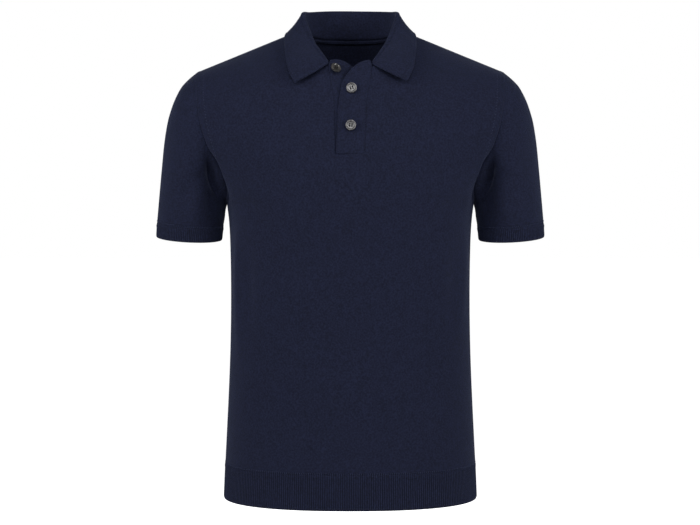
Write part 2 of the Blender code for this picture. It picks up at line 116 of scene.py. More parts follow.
# Rings of a sleeve from the armhole to the edge of the cuff: the outermost and innermost points,
# half the depth from front to back, how much lower the front is than the middle, and how much of
# the armhole's own shape is left.
SleeveRing = namedtuple("SleeveRing", "outer_x outer_z inner_x inner_z half_depth drop armhole")
SLEEVE_RINGS = (
    SleeveRing(0.2216, -0.0630, 0.1783, -0.2525, 0.0640, 0.0000, 1.00),
    SleeveRing(0.2334, -0.0731, 0.1789, -0.2540, 0.0655, 0.0000, 0.82),
    SleeveRing(0.2440, -0.0850, 0.1795, -0.2558, 0.0662, 0.0000, 0.62),
    SleeveRing(0.2534, -0.1024, 0.1800, -0.2580, 0.0660, 0.0002, 0.44),
    SleeveRing(0.2598, -0.1200, 0.1805, -0.2606, 0.0650, 0.0004, 0.30),
    SleeveRing(0.2643, -0.1373, 0.1809, -0.2634, 0.0638, 0.0008, 0.20),
    SleeveRing(0.2686, -0.1640, 0.1814, -0.2672, 0.0618, 0.0012, 0.11),
    SleeveRing(0.2720, -0.1960, 0.1818, -0.2717, 0.0594, 0.0018, 0.05),
    SleeveRing(0.2756, -0.2330, 0.1827, -0.2770, 0.0564, 0.0024, 0.01),
    SleeveRing(0.2797, -0.2765, 0.1841, -0.2850, 0.0530, 0.0030, 0.00),
    SleeveRing(0.2806, -0.2880, 0.1850, -0.2950, 0.0524, 0.0032, 0.00),
    SleeveRing(0.2814, -0.3000, 0.1861, -0.3058, 0.0518, 0.0035, 0.00),
)
CUFF_START = 9

# Stations of the collar from the centre back to a front end: the neckline that it stands on, the
# top of its fold, the free edge of its fall, and how far the fall swells between the two.
Station = namedtuple("Station", "neck fold edge swell")
COLLAR = (
    Station((0.0000, 0.0580, -0.0137), (0.0000, 0.0575, 0.0292), (0.0000, 0.0800, -0.0240), 0.0035),
    Station((0.0310, 0.0550, -0.0132), (0.0345, 0.0505, 0.0284), (0.0440, 0.0700, -0.0225), 0.0030),
    Station((0.0580, 0.0380, -0.0100), (0.0584, 0.0310, 0.0259), (0.0780, 0.0420, -0.0140), 0.0014),
    Station((0.0700, 0.0050, -0.0013), (0.0682, 0.0020, 0.0224), (0.0928, 0.0020, -0.0073), -0.0014),
    Station((0.0645, -0.0290, -0.0205), (0.0622, -0.0210, 0.0035), (0.0930, -0.0380, -0.0262), 0.0012),
    Station((0.0550, -0.0525, -0.0370), (0.0520, -0.0470, -0.0205), (0.0900, -0.0670, -0.0475), 0.0034),
    Station((0.0430, -0.0706, -0.0480), (0.0405, -0.0680, -0.0375), (0.0852, -0.0870, -0.0648), 0.0035),
    Station((0.0330, -0.0835, -0.0562), (0.0308, -0.0838, -0.0512), (0.0772, -0.1010, -0.0802), 0.0035),
)
FOOT_INSET = 0.0028
FOOT_RISE = 0.0004
NECK_CENTRE = (0.0, -0.008, 0.0)
FOLD_START = 160
END_BOW = 0.0045
LEFT_TIP_SHIFT = (0.0014, 0.0, 0.0024)
TIP_SHIFT_POWER = 3

# Rows of the two plackets, from the foot up: the edge that is sewn to the slit and the free edge.
Strip = namedtuple("Strip", "sewn free")
PLACKET_UPPER = (
    Strip((0.0196, -0.1189, -0.1792), (-0.0181, -0.1213, -0.1792)),
    Strip((0.0200, -0.1148, -0.1570), (-0.0173, -0.1172, -0.1570)),
    Strip((0.0208, -0.1093, -0.1330), (-0.0163, -0.1123, -0.1330)),
    Strip((0.0218, -0.1040, -0.1100), (-0.0153, -0.1070, -0.1120)),
    Strip((0.0258, -0.0975, -0.0840), (-0.0128, -0.1014, -0.0930)),
    Strip((0.0296, -0.0890, -0.0600), (-0.0096, -0.0982, -0.0800)),
    Strip((0.0280, -0.0868, -0.0532), (-0.0083, -0.0964, -0.0768)),
)
PLACKET_UNDER = (
    Strip((-0.0196, -0.1189, -0.1792), (0.0165, -0.1165, -0.1792)),
    Strip((-0.0200, -0.1148, -0.1570), (0.0160, -0.1122, -0.1570)),
    Strip((-0.0208, -0.1093, -0.1330), (0.0155, -0.1066, -0.1330)),
    Strip((-0.0218, -0.1040, -0.1100), (0.0150, -0.1005, -0.1110)),
    Strip((-0.0258, -0.0975, -0.0840), (0.0135, -0.0925, -0.0880)),
    Strip((-0.0296, -0.0890, -0.0600), (0.0118, -0.0845, -0.0730)),
    Strip((-0.0280, -0.0868, -0.0532), (0.0110, -0.0830, -0.0690)),
)
PLACKET_BOW = 0.0082
CORNER_RISE = 0.25
BOW_LEAN = 0.38
BOW_START = 6
BOW_ROUND = 0.8

# Buttons: the place on the placket's face, the way that the face looks, and the turn of its holes.
Button = namedtuple("Button", "name place looks turn")
BUTTONS = (
    Button("button_bottom", (0.0008, -0.1147, -0.1412), (-0.06, -1.00, 0.24), 0.10),
    Button("button_middle", (0.0017, -0.1002, -0.0895), (-0.03, -1.00, 0.26), -0.25),
    Button("button_top", (-0.0208, -0.0913, -0.0622), (0.46, -0.74, 0.62), 0.45),
)
BUTTON_RADIUS = 0.0073
BUTTON_THICKNESS = 0.0026
BUTTON_LIFT = 0.0009
HOLE_RADIUS = 0.00105
HOLE_OFFSET = 0.0016
BUTTON_SIDES = 48
HOLE_SIDES = 20
PIN_LENGTH = 0.010
RIM_BEVEL = 0.00032
BEVEL_ANGLE = 25
SMOOTH_ANGLE = 32

# Steps of a button's face and back from the rim in: how wide each is and how far it drops.
FaceStep = namedtuple("FaceStep", "inset drop")
BUTTON_FACE = (
    FaceStep(0.0007, 0.0),
    FaceStep(0.0006, -0.0001),
    FaceStep(0.0009, -0.000676),
    FaceStep(0.0008, -0.0001),
)
BUTTON_BACK = (FaceStep(0.0012, -0.0001),)
THREAD_RADIUS = 0.00027
STRAND_OFFSET = 0.00030
THREAD_DEPTH = 0.0012
DISH_LEVEL = 0.42

# ---------------------------------------------------------------- finer steps and soft relief

BODY_STEPS = 13
UPPER_STEPS = 8
SHOULDER_STEPS = 10
BICEP_STEPS = 6
SLEEVE_STEPS = 8
CUFF_STEPS = 5
WIDE_COLUMNS = 62
EDGE_BAND = 0.015
EDGE_COLUMNS = 14
CHEST_REACH = 16
CHEST_PASSES = 30
NECK_REACH = 12
NECK_FADE = 10
NECK_PASSES = 120
MIDDLE_COLUMNS = 8
LINE_POINTS = 300
RIB_PITCH = 0.0031
CUFF_RIB_PITCH = 0.0027
STEPS_PER_RIB = 6
RIB_DEPTH = 0.00065
RIB_WAVE_MIDDLE = 0.62
# Where the rib wave lies below this level, the colour gets painted shade.
GROOVE_SHADE_LEVEL = 0.38
SEAM_FADE = 0.0030
EDGE_FADE = 0.0040
EDGE_STRENGTH = 0.45
SEAM_ROLL = 0.00006
FREE_ROLL = 0.45
RIM_STEPS = 4
FREE_RIB_DRAWN = 0.0012
PLACKET_SPREAD = 0.00015
HEM_STITCH = 0.0026
CUFF_STITCH = 0.0024
HEM_STITCH_RISE = 0.0006
LOOK_AHEAD = 0.0004
STITCH_VARIES = 0.08
VARIES_OVER = 2.3
STITCH_LIFT = 0.0001
FASHION_INSET = 0.0118
FASHION_PITCH = 0.0046
FASHION_MARK = 0.0021
FASHION_SLANT = 0.5

# Soft relief along a seam or an edge: how far in it runs, half its width, and how far it stands
# out, or sinks if negative.
Ridge = namedtuple("Ridge", "at width height")
PANEL_SEAM = (Ridge(0.0032, 0.0018, 0.00025), Ridge(0.0, 0.0012, -0.00015))
ARMHOLE_SEAM = (Ridge(0.0034, 0.0020, 0.00025), Ridge(0.0, 0.0014, -0.00015))
RIB_SEAM = (Ridge(0.0040, 0.0025, 0.00050), Ridge(0.0, 0.0012, -0.00040))
RIB_EDGE = (Ridge(0.0, 0.0018, -0.00040),)
COLLAR_EDGE = (Ridge(0.0016, 0.0011, 0.00035), Ridge(0.0036, 0.0009, -0.00022))
PLACKET_EDGE = (Ridge(0.0015, 0.0010, 0.00040), Ridge(0.0036, 0.0009, -0.00022))
PLACKET_SEAM = (Ridge(0.0042, 0.0020, 0.00028), Ridge(0.0006, 0.0012, -0.00012))
PLACKET_FOOT = (Ridge(0.0008, 0.0012, -0.00030),)

# Soft creases: a bent line, half its width, and how far it stands out, or sinks if negative.
CREASE_POINTS = 9
CREASE_REACH = 4
CREASE_FADE = 0.06
Crease = namedtuple("Crease", "start middle end width height")


def both_sides(crease):
    """A crease on the wearer's left and the same on the right."""
    right = [(-x, y, z) for x, y, z in (crease.start, crease.middle, crease.end)]
    return crease, Crease(*right, crease.width, crease.height)


CREASES = (
    # wearer's right flank
    Crease((-0.158, -0.060, -0.285), (-0.163, -0.050, -0.370), (-0.158, -0.056, -0.470), 0.010, 0.0030),
    Crease((-0.139, -0.080, -0.300), (-0.145, -0.074, -0.370), (-0.141, -0.078, -0.450), 0.012, -0.0026),
    Crease((-0.165, -0.045, -0.236), (-0.135, -0.088, -0.262), (-0.105, -0.105, -0.315), 0.013, -0.0022),
    Crease((-0.150, -0.074, -0.205), (-0.120, -0.100, -0.235), (-0.080, -0.115, -0.290), 0.018, 0.0014),
    # wearer's left flank
    Crease((0.160, -0.056, -0.290), (0.164, -0.048, -0.350), (0.157, -0.058, -0.430), 0.011, 0.0018),
    Crease((0.142, -0.076, -0.310), (0.146, -0.072, -0.360), (0.140, -0.078, -0.425), 0.012, -0.0015),
    Crease((0.166, -0.043, -0.234), (0.140, -0.084, -0.256), (0.112, -0.102, -0.300), 0.014, -0.0018),
    Crease((0.148, -0.076, -0.200), (0.118, -0.101, -0.240), (0.090, -0.113, -0.300), 0.018, 0.0010),
    # front, long and shallow
    Crease((-0.060, -0.118, -0.420), (-0.050, -0.112, -0.510), (-0.070, -0.110, -0.620), 0.030, -0.0012),
    Crease((0.040, -0.113, -0.450), (0.055, -0.112, -0.530), (0.045, -0.112, -0.625), 0.034, -0.0010),
    Crease((0.105, -0.098, -0.520), (0.110, -0.095, -0.570), (0.100, -0.098, -0.628), 0.020, 0.0010),
    Crease((-0.115, -0.093, -0.540), (-0.110, -0.096, -0.590), (-0.118, -0.092, -0.628), 0.018, 0.0009),
    # back
    Crease((-0.158, 0.050, -0.300), (-0.150, 0.062, -0.390), (-0.152, 0.060, -0.480), 0.012, -0.0030),
    Crease((-0.132, 0.074, -0.290), (-0.128, 0.074, -0.380), (-0.120, 0.078, -0.500), 0.014, 0.0032),
    Crease((0.156, 0.052, -0.290), (0.148, 0.064, -0.370), (0.150, 0.062, -0.450), 0.012, -0.0026),
    Crease((0.130, 0.076, -0.300), (0.124, 0.078, -0.400), (0.128, 0.076, -0.520), 0.015, 0.0030),
    Crease((-0.168, 0.030, -0.240), (-0.130, 0.076, -0.265), (-0.070, 0.096, -0.330), 0.014, -0.0030),
    Crease((0.170, 0.030, -0.238), (0.134, 0.076, -0.262), (0.085, 0.094, -0.310), 0.013, -0.0026),
    Crease((-0.150, 0.070, -0.200), (-0.100, 0.095, -0.240), (-0.040, 0.100, -0.300), 0.020, 0.0022),
    Crease((0.150, 0.070, -0.196), (0.105, 0.094, -0.230), (0.050, 0.100, -0.280), 0.019, 0.0018),
    Crease((-0.040, 0.092, -0.360), (-0.028, 0.092, -0.460), (-0.036, 0.098, -0.600), 0.026, -0.0026),
    Crease((0.022, 0.092, -0.400), (0.034, 0.095, -0.480), (0.028, 0.100, -0.615), 0.028, 0.0022),
    Crease((0.078, 0.086, -0.460), (0.070, 0.092, -0.540), (0.076, 0.096, -0.622), 0.018, -0.0018),
    Crease((-0.090, 0.084, -0.470), (-0.096, 0.088, -0.550), (-0.088, 0.092, -0.625), 0.018, 0.0016),
    # valleys and folds where the sleeves meet the body
    *both_sides(
        Crease((0.2015, -0.060, -0.186), (0.190, -0.0535, -0.216), (0.180, -0.027, -0.250), 0.007, -0.0165)
    ),
    *both_sides(
        Crease((0.2060, -0.060, -0.196), (0.196, -0.0540, -0.232), (0.187, -0.040, -0.290), 0.016, -0.0105)
    ),
    *both_sides(
        Crease((0.205, 0.062, -0.184), (0.194, 0.055, -0.212), (0.183, 0.028, -0.243), 0.009, -0.0050)
    ),
    *both_sides(
        Crease((0.188, -0.066, -0.192), (0.180, -0.056, -0.214), (0.173, -0.034, -0.240), 0.007, 0.0030)
    ),
    # sleeves
    Crease((-0.234, -0.058, -0.172), (-0.214, -0.058, -0.193), (-0.190, -0.048, -0.226), 0.0070, -0.0028),
    Crease((-0.238, -0.055, -0.190), (-0.218, -0.056, -0.210), (-0.200, -0.050, -0.236), 0.0080, 0.0020),
    Crease((0.232, -0.060, -0.160), (0.213, -0.059, -0.190), (0.192, -0.050, -0.222), 0.0075, -0.0024),
    Crease((0.240, -0.056, -0.182), (0.220, -0.057, -0.206), (0.204, -0.050, -0.240), 0.0090, 0.0018),
    Crease((-0.205, -0.055, -0.190), (-0.225, -0.060, -0.225), (-0.250, -0.046, -0.262), 0.011, -0.0022),
    Crease((-0.196, -0.052, -0.222), (-0.212, -0.056, -0.250), (-0.226, -0.050, -0.276), 0.009, 0.0016),
    Crease((0.206, -0.054, -0.196), (0.228, -0.060, -0.222), (0.256, -0.040, -0.250), 0.012, -0.0018),
    Crease((0.195, -0.052, -0.226), (0.210, -0.056, -0.252), (0.222, -0.050, -0.274), 0.009, 0.0014),
    Crease((-0.215, 0.064, -0.165), (-0.232, 0.062, -0.210), (-0.252, 0.048, -0.262), 0.012, -0.0026),
    Crease((-0.200, 0.056, -0.205), (-0.215, 0.056, -0.240), (-0.232, 0.048, -0.274), 0.010, 0.0022),
    Crease((0.214, 0.064, -0.160), (0.236, 0.060, -0.200), (0.258, 0.042, -0.246), 0.012, -0.0022),
    Crease((0.202, 0.056, -0.210), (0.214, 0.056, -0.240), (0.226, 0.050, -0.270), 0.010, 0.0020),
)


def unit(vector):
    return vector / np.maximum(np.linalg.norm(vector, axis=-1, keepdims=True), 1e-12)


def relief_at(distance, ridges):
    """How far the cloth stands out at a distance from a seam or an edge."""
    return sum(
        ridge.height * np.exp(-(((distance - ridge.at) / ridge.width) ** 2)) for ridge in ridges
    )


def smooth_through(points, steps):
    """A smooth curve through the points. steps is one number, or one for each gap between them."""
    points = np.asarray(points, float)
    slopes = np.gradient(points, axis=0)
    curve = []
    for low, count in enumerate(np.broadcast_to(steps, len(points) - 1)):
        for t in np.arange(count) / count:
            curve.append(
                (1 + 2 * t) * (1 - t) ** 2 * points[low]
                + t * (1 - t) ** 2 * slopes[low]
                + t * t * (3 - 2 * t) * points[low + 1]
                + t * t * (t - 1) * slopes[low + 1]
            )
    curve.append(points[-1])
    return np.array(curve)


def smooth_in_parts(points, steps, corner):
    """A smooth curve through the points on each side of one of them, which stays a corner."""
    steps = np.broadcast_to(steps, len(points) - 1)
    low = smooth_through(points[: corner + 1], steps[:corner])
    return np.concatenate([low, smooth_through(points[corner:], steps[corner:])[1:]])


def lengths_along(line):
    return np.concatenate([[0.0], np.cumsum(np.linalg.norm(np.diff(line, axis=0), axis=1))])


def lengths_across(grid):
    return np.array([lengths_along(row) for row in grid])


def values_at(along, wanted, values):
    return np.stack([np.interp(wanted, along, axis) for axis in values.T], axis=1)


def points_at(line, wanted):
    return values_at(lengths_along(line), wanted, line)


# ---------------------------------------------------------------- front and back


def row_table(side):
    """Rows of a half panel in fine steps from the hem up, and how many steps each gap has."""
    rows = []
    for ring in BODY_RINGS:
        half_slit = SLIT_HALF_WIDTH if side < 0 else 0.0
        reach = ring.front if side < 0 else ring.back
        inset = (1 - (half_slit / ring.half_width) ** RING_POWER) ** (1 / RING_POWER)
        inner = (half_slit, side * reach * inset, ring.z)
        rows.append(Row(inner, (ring.half_width, 0.0, ring.z), 1.0, 0.0))
    underarm = len(rows)
    rows += FRONT_ROWS if side < 0 else BACK_ROWS
    steps = [BODY_STEPS] * (underarm - 1) + [UPPER_STEPS] * (len(rows) - underarm)
    inner = smooth_in_parts([[*row.inner, row.turn, row.full] for row in rows], steps, underarm + NECK_ROW)
    outer = smooth_in_parts([row.outer for row in rows], steps, underarm)
    return inner, outer


def row_line(side, inner, outer):
    """One fine row from the centre to the outer end, and how many points lie inside the slit."""
    turn, full = inner[3], inner[4]
    start = inner[0] / outer[0]
    bend = np.sin(np.linspace(0, math.pi / 2, LINE_POINTS + 1))
    inside = np.linspace(0, start, MIDDLE_COLUMNS + 1)[:-1] if side < 0 else np.zeros(0)
    across = np.concatenate([inside, start + (1 - start) * bend])
    part = np.concatenate([np.zeros(len(inside)), bend])
    rest = 1 - np.minimum(across, 1) ** RING_POWER
    profile = turn * rest ** (1 / RING_POWER) + (1 - turn) * rest
    depth = outer[1] + (inner[1] - outer[1]) * profile / profile[len(inside)]
    depth += side * full * np.sin(math.pi * part)
    line = np.stack([across * outer[0], depth, inner[2] + (outer[2] - inner[2]) * part], axis=1)
    return line, len(inside)


def soften_neck_row(half, row, first):
    """Takes out the crease that a row's corner at the neckline would send across the panel."""
    rows = np.arange(len(half))[:, None, None]
    columns = np.arange(half.shape[1])[None, :, None]
    share = relief_at(rows, [Ridge(row, NECK_REACH, 1.0)])
    share = share * np.clip((columns - first) / NECK_FADE, 0, 1)
    share[-1] = 0
    for _ in range(NECK_PASSES):
        middle = (half[:-2] + half[2:]) / 2
        half[1:-1] += 0.5 * share[1:-1] * (middle - half[1:-1])
    return half


def soften_chest_rows(half):
    """Eases the turn where the body's rings give way to the rows above the underarm."""
    low, high = underarm_index() - CHEST_REACH, underarm_index() + CHEST_REACH
    fade = np.minimum(np.arange(half.shape[1])[::-1] / EDGE_COLUMNS, 1)[:, None]
    for _ in range(CHEST_PASSES):
        between = (half[low - 1 : high - 1] + half[low + 1 : high + 1]) / 2
        half[low:high] += fade * (between - half[low:high]) / 2
    return half


def panel_grid(side):
    """Fine rows of a whole panel from the hem up, each from the wearer's right to the left."""
    inner, outer = row_table(side)
    half = []
    for low, high in zip(inner, outer):
        line, first = row_line(side, low, high)
        middle, outside = line[: first + 1], line[first:]
        total = lengths_along(outside)[-1]
        wide = np.linspace(0, total - EDGE_BAND, WIDE_COLUMNS + 1)
        edge = np.linspace(total - EDGE_BAND, total, EDGE_COLUMNS + 1)[1:]
        half.append(np.concatenate([middle[:-1], points_at(outside, np.concatenate([wide, edge]))]))
    half = soften_neck_row(np.array(half), neck_row_index(), MIDDLE_COLUMNS if side < 0 else 0)
    half = soften_chest_rows(half)
    mirrored = half[:, ::-1] * (-1, 1, 1)
    return np.concatenate([mirrored[:, :-1] if side < 0 else mirrored, half], axis=1)


def panel_cells(grid, side):
    """Which cells of a panel are cloth: the front has its slit and the back its neck cut out."""
    cells = np.ones((len(grid) - 1, grid.shape[1] - 1), bool)
    centre = grid.shape[1] // 2
    if side < 0:
        cells[slit_index() :, centre - MIDDLE_COLUMNS : centre + MIDDLE_COLUMNS] = False
    else:
        cells[:, centre - 1] = False
    return cells


def half_of(grid, side):
    """The wearer's left half of a panel's rows (side 1) or the right half (-1), from the centre."""
    centre = grid.shape[1] // 2
    return grid[:, centre:] if side > 0 else grid[:, (grid.shape[1] - 1) // 2 :: -1]


def neck_row_index():
    gaps_below = len(BODY_RINGS) - 1
    return gaps_below * BODY_STEPS + (NECK_ROW + 1) * UPPER_STEPS


def underarm_index():
    return (len(BODY_RINGS) - 1) * BODY_STEPS + UPPER_STEPS


def rib_top_index():
    return sum(ring.z < RIB_TOP for ring in BODY_RINGS) * BODY_STEPS


def slit_index():
    return underarm_index() + SLIT_ROW * UPPER_STEPS


# ---------------------------------------------------------------- sleeves and cuffs


def sleeve_rings(armhole, front_points, rings):
    """Rings of the wearer's left sleeve, from fine rows of its table."""
    first = SLEEVE_RINGS[0]
    middle = (first.outer_z + first.inner_z) / 2
    height = (first.outer_z - first.inner_z) / 2
    angle = np.arccos(np.clip((armhole[:, 2] - middle) / height, -1, 1))
    turn = np.where(np.arange(len(armhole)) < front_points, angle, -angle)[:, None]

    def ellipse(ring):
        outer = np.array((ring[0], 0.0, ring[1]))
        inner = np.array((ring[2], 0.0, ring[3]))
        deep = np.array((0.0, -ring[4], -ring[5]))
        return (outer + inner) / 2 + np.cos(turn) * (outer - inner) / 2 + np.sin(turn) * deep

    own_shape = armhole - ellipse(first)
    return np.array([ellipse(ring) + ring[6] * own_shape for ring in rings])


def armhole_line(front, back):
    """The armhole of the wearer's left, from the underarm up the front and down the back."""
    first = underarm_index()
    return np.concatenate([front[first:, -1], back[first:-1, -1][::-1]]), len(front) - first


# ---------------------------------------------------------------- walls from grids


def shared_normals(grids):
    """Normals of grids of (points, flipped, cells), the same wherever their points meet."""
    points = np.concatenate([entry[0].reshape(-1, 3) for entry in grids])
    _, place = np.unique(np.round(points, 5), axis=0, return_inverse=True)
    place = place.ravel()
    total = np.zeros((place.max() + 1, 3))
    start = 0
    spots = []
    for grid, flipped, cells in grids:
        count = grid.shape[0] * grid.shape[1]
        spot = place[start : start + count].reshape(grid.shape[:2])
        start += count
        spots.append(spot)
        across = np.cross(grid[1:, 1:] - grid[:-1, :-1], grid[1:, :-1] - grid[:-1, 1:])
        across = -across if flipped else across
        if cells is not None:
            across = across * cells[..., None]
        for corner in (spot[:-1, :-1], spot[:-1, 1:], spot[1:, 1:], spot[1:, :-1]):
            np.add.at(total, corner, across)
    total = unit(total)
    return [total[spot] for spot in spots]


def crease_relief(points):
    """How far the creases move each point out along its normal."""
    flat = points.reshape(-1, 3)
    relief = np.zeros(len(flat))
    for crease in CREASES:
        start, middle, end = np.array((crease.start, crease.middle, crease.end))
        t = np.linspace(0, 1, CREASE_POINTS)[:, None]
        line = (1 - t) ** 2 * start + 2 * t * (1 - t) * (2 * middle - (start + end) / 2) + t * t * end
        reach = CREASE_REACH * crease.width
        near = (flat > line.min(axis=0) - reach).all(axis=1)
        near &= (flat < line.max(axis=0) + reach).all(axis=1)
        if not near.any():
            continue
        spots = flat[near]
        best = np.full(len(spots), 1.0)
        along = np.zeros(len(spots))
        for low in range(len(line) - 1):
            step = line[low + 1] - line[low]
            part = np.clip((spots - line[low]) @ step / (step @ step), 0, 1)
            apart = np.linalg.norm(spots - line[low] - part[:, None] * step, axis=1)
            closer = apart < best
            best[closer] = apart[closer]
            along[closer] = (low + part[closer]) / (len(line) - 1)
        fade = np.sin(math.pi * (CREASE_FADE + (1 - 2 * CREASE_FADE) * along))
        relief[near] += fade * relief_at(best, [Ridge(0.0, crease.width, crease.height)])
    return relief.reshape(points.shape[:-1])


def corners_of(ids):
    return np.stack([ids[:-1, :-1], ids[:-1, 1:], ids[1:, 1:], ids[1:, :-1]], axis=-1).reshape(-1, 4)


def cloth_wall(
    name, grid, normals, wall, uv, roll=SEAM_ROLL, gap=0.0, cells=None, flip=False, groove_shade=None
):
    """A closed wall from a grid of points, with rounded rims at its open edges.

    roll says how far a rim stands out from each point. Open edges are drawn back by the gap first.
    """
    rows, columns = grid.shape[:2]
    corner = np.arange(rows * columns).reshape(rows, columns)
    _, first, same = np.unique(
        np.round(grid.reshape(-1, 3), 6), axis=0, return_index=True, return_inverse=True
    )
    welded = first[same.ravel()].reshape(rows, columns)
    faces, laid = corners_of(welded), corners_of(corner)
    if cells is not None:
        faces, laid = faces[cells.ravel()], laid[cells.ravel()]
    if flip:
        faces, laid = faces[:, ::-1], laid[:, ::-1]
    used, faces = np.unique(faces, return_inverse=True)
    faces = faces.reshape(-1, 4)
    outer = grid.reshape(-1, 3)[used]
    inward = -normals.reshape(-1, 3)[used]
    stand = np.broadcast_to(roll, (rows, columns)).reshape(-1)[used]
    flat_uv = uv.reshape(-1, 2)
    count = len(used)
    starts, ends = faces.ravel(), np.roll(faces, -1, axis=1).ravel()
    is_open = ~np.isin(starts * count + ends, ends * count + starts)
    starts, ends = starts[is_open], ends[is_open]
    along = unit(outer[ends] - outer[starts])
    aside = unit(np.cross(-inward[starts] - inward[ends], along))
    pull = np.zeros_like(outer)
    np.add.at(pull, starts, aside)
    np.add.at(pull, ends, aside)
    edge = np.unique(starts)
    toward = unit(pull[edge])
    outer = outer.copy()
    outer[edge] += np.broadcast_to(gap, (rows, columns)).reshape(-1)[used][edge][:, None] * toward
    thick = np.broadcast_to(wall, (rows, columns)).reshape(-1)[used][:, None]
    layers = [outer, outer + thick * inward]
    rim = {0: np.arange(count), RIM_STEPS: np.arange(count) + count}
    spot = np.full(count, -1)
    spot[edge] = np.arange(len(edge))
    for step in range(1, RIM_STEPS):
        sweep = math.pi * step / RIM_STEPS
        deep = (1 - math.cos(sweep)) / 2 * thick[edge] * inward[edge]
        layers.append(outer[edge] + deep - (stand[edge] * math.sin(sweep))[:, None] * toward)
        rim[step] = 2 * count + (step - 1) * len(edge) + spot
    shell = [faces, faces[:, ::-1] + count]
    shell_uv = [flat_uv[laid], flat_uv[laid[:, ::-1]]]
    edge_uv = flat_uv[used]
    for step in range(RIM_STEPS):
        low, high = rim[step], rim[step + 1]
        shell.append(np.stack([low[ends], low[starts], high[starts], high[ends]], axis=1))
        shell_uv.append(edge_uv[np.stack([ends, starts, starts, ends], axis=1)])
    obj = cloth_object(name, np.concatenate(layers), np.concatenate(shell), np.concatenate(shell_uv))
    # A per-point attribute of painted shade for the rib grooves, if one is given.
    if groove_shade is not None:
        depth = groove_shade.reshape(-1)[used]
        depth = np.concatenate([depth, depth] + [depth[edge]] * (RIM_STEPS - 1))
        shade = obj.data.attributes.new("groove_shade", "FLOAT", "POINT")
        shade.data.foreach_set("value", depth.astype(np.float32))
    return obj


def smooth(mesh):
    mesh.polygons.foreach_set("use_smooth", [True] * len(mesh.polygons))


def linked(name, data):
    obj = bpy.data.objects.new(name, data)
    bpy.context.collection.objects.link(obj)
    return obj


def cloth_object(name, points, faces, face_uv):
    mesh = bpy.data.meshes.new(name)
    mesh.from_pydata(points.tolist(), [], faces.tolist())
    layer = mesh.uv_layers.new(name="cloth")
    layer.uv.foreach_set("vector", face_uv.astype(np.float32).ravel())
    smooth(mesh)
    return linked(name, mesh)


def cloth_uv(grid):
    """Metres across and up the cloth, for a pattern that follows it."""
    across = lengths_across(grid)
    across -= across[:, across.shape[1] // 2][:, None]
    up = np.linalg.norm(np.diff(grid, axis=0), axis=2).mean(axis=1)
    up = np.concatenate([[0.0], np.cumsum(up)])
    return np.stack([across, np.broadcast_to(up[:, None], across.shape)], axis=-1)


# ---------------------------------------------------------------- materials

NAVY = (0.0123, 0.0156, 0.0390)
# Lighter than NAVY, to make up for the painted shade that darkens the rib grooves.
NAVY_RIB = (0.0166, 0.0210, 0.0520)


def group_tree(name, inputs, outputs):
    """A shader node group with its sockets: inputs are (kind, name, default), outputs (kind, name)."""
    tree = bpy.data.node_groups.new(name, "ShaderNodeTree")
    for kind, label, default in inputs:
        socket = tree.interface.new_socket(label, in_out="INPUT", socket_type=kind)
        if default is not None:
            socket.default_value = default
    for kind, label in outputs:
        tree.interface.new_socket(label, in_out="OUTPUT", socket_type=kind)
    return tree, tree.nodes.new("NodeGroupInput"), tree.nodes.new("NodeGroupOutput")


def node(tree, kind, **settings):
    made = tree.nodes.new(kind)
    for key, value in settings.items():
        setattr(made, key, value)
    return made


def noise(tree, where, scale, detail):
    made = tree.nodes.new("ShaderNodeTexNoise")
    made.inputs["Scale"].default_value = scale
    made.inputs["Detail"].default_value = detail
    tree.links.new(where, made.inputs["Vector"])
    return made.outputs["Fac"]


def carried(tree, value, low, high, to_low, to_high):
    """A value carried from one range over to another."""
    made = tree.nodes.new("ShaderNodeMapRange")
    for index, given in enumerate((low, high, to_low, to_high), 1):
        made.inputs[index].default_value = given
    tree.links.new(value, made.inputs[0])
    return made.outputs[0]


def toned(tree, base, level):
    """A colour made lighter or darker by a level that changes over the surface."""
    made = node(tree, "ShaderNodeVectorMath", operation="SCALE")
    made.inputs[0].default_value = base
    tree.links.new(level, made.inputs["Scale"])
    return made.outputs[0]


def bumped(tree, height, strength, distance):
    made = tree.nodes.new("ShaderNodeBump")
    made.inputs["Strength"].default_value = strength
    made.inputs["Distance"].default_value = distance
    tree.links.new(height, made.inputs["Height"])
    return made.outputs["Normal"]


def maths(tree, operation, first, second=None, third=None):
    made = tree.nodes.new("ShaderNodeMath")
    made.operation = operation
    for index, value in enumerate((first, second, third)):
        if value is None:
            continue
        if isinstance(value, (int, float)):
            made.inputs[index].default_value = value
        else:
            tree.links.new(value, made.inputs[index])
    return made.outputs[0]


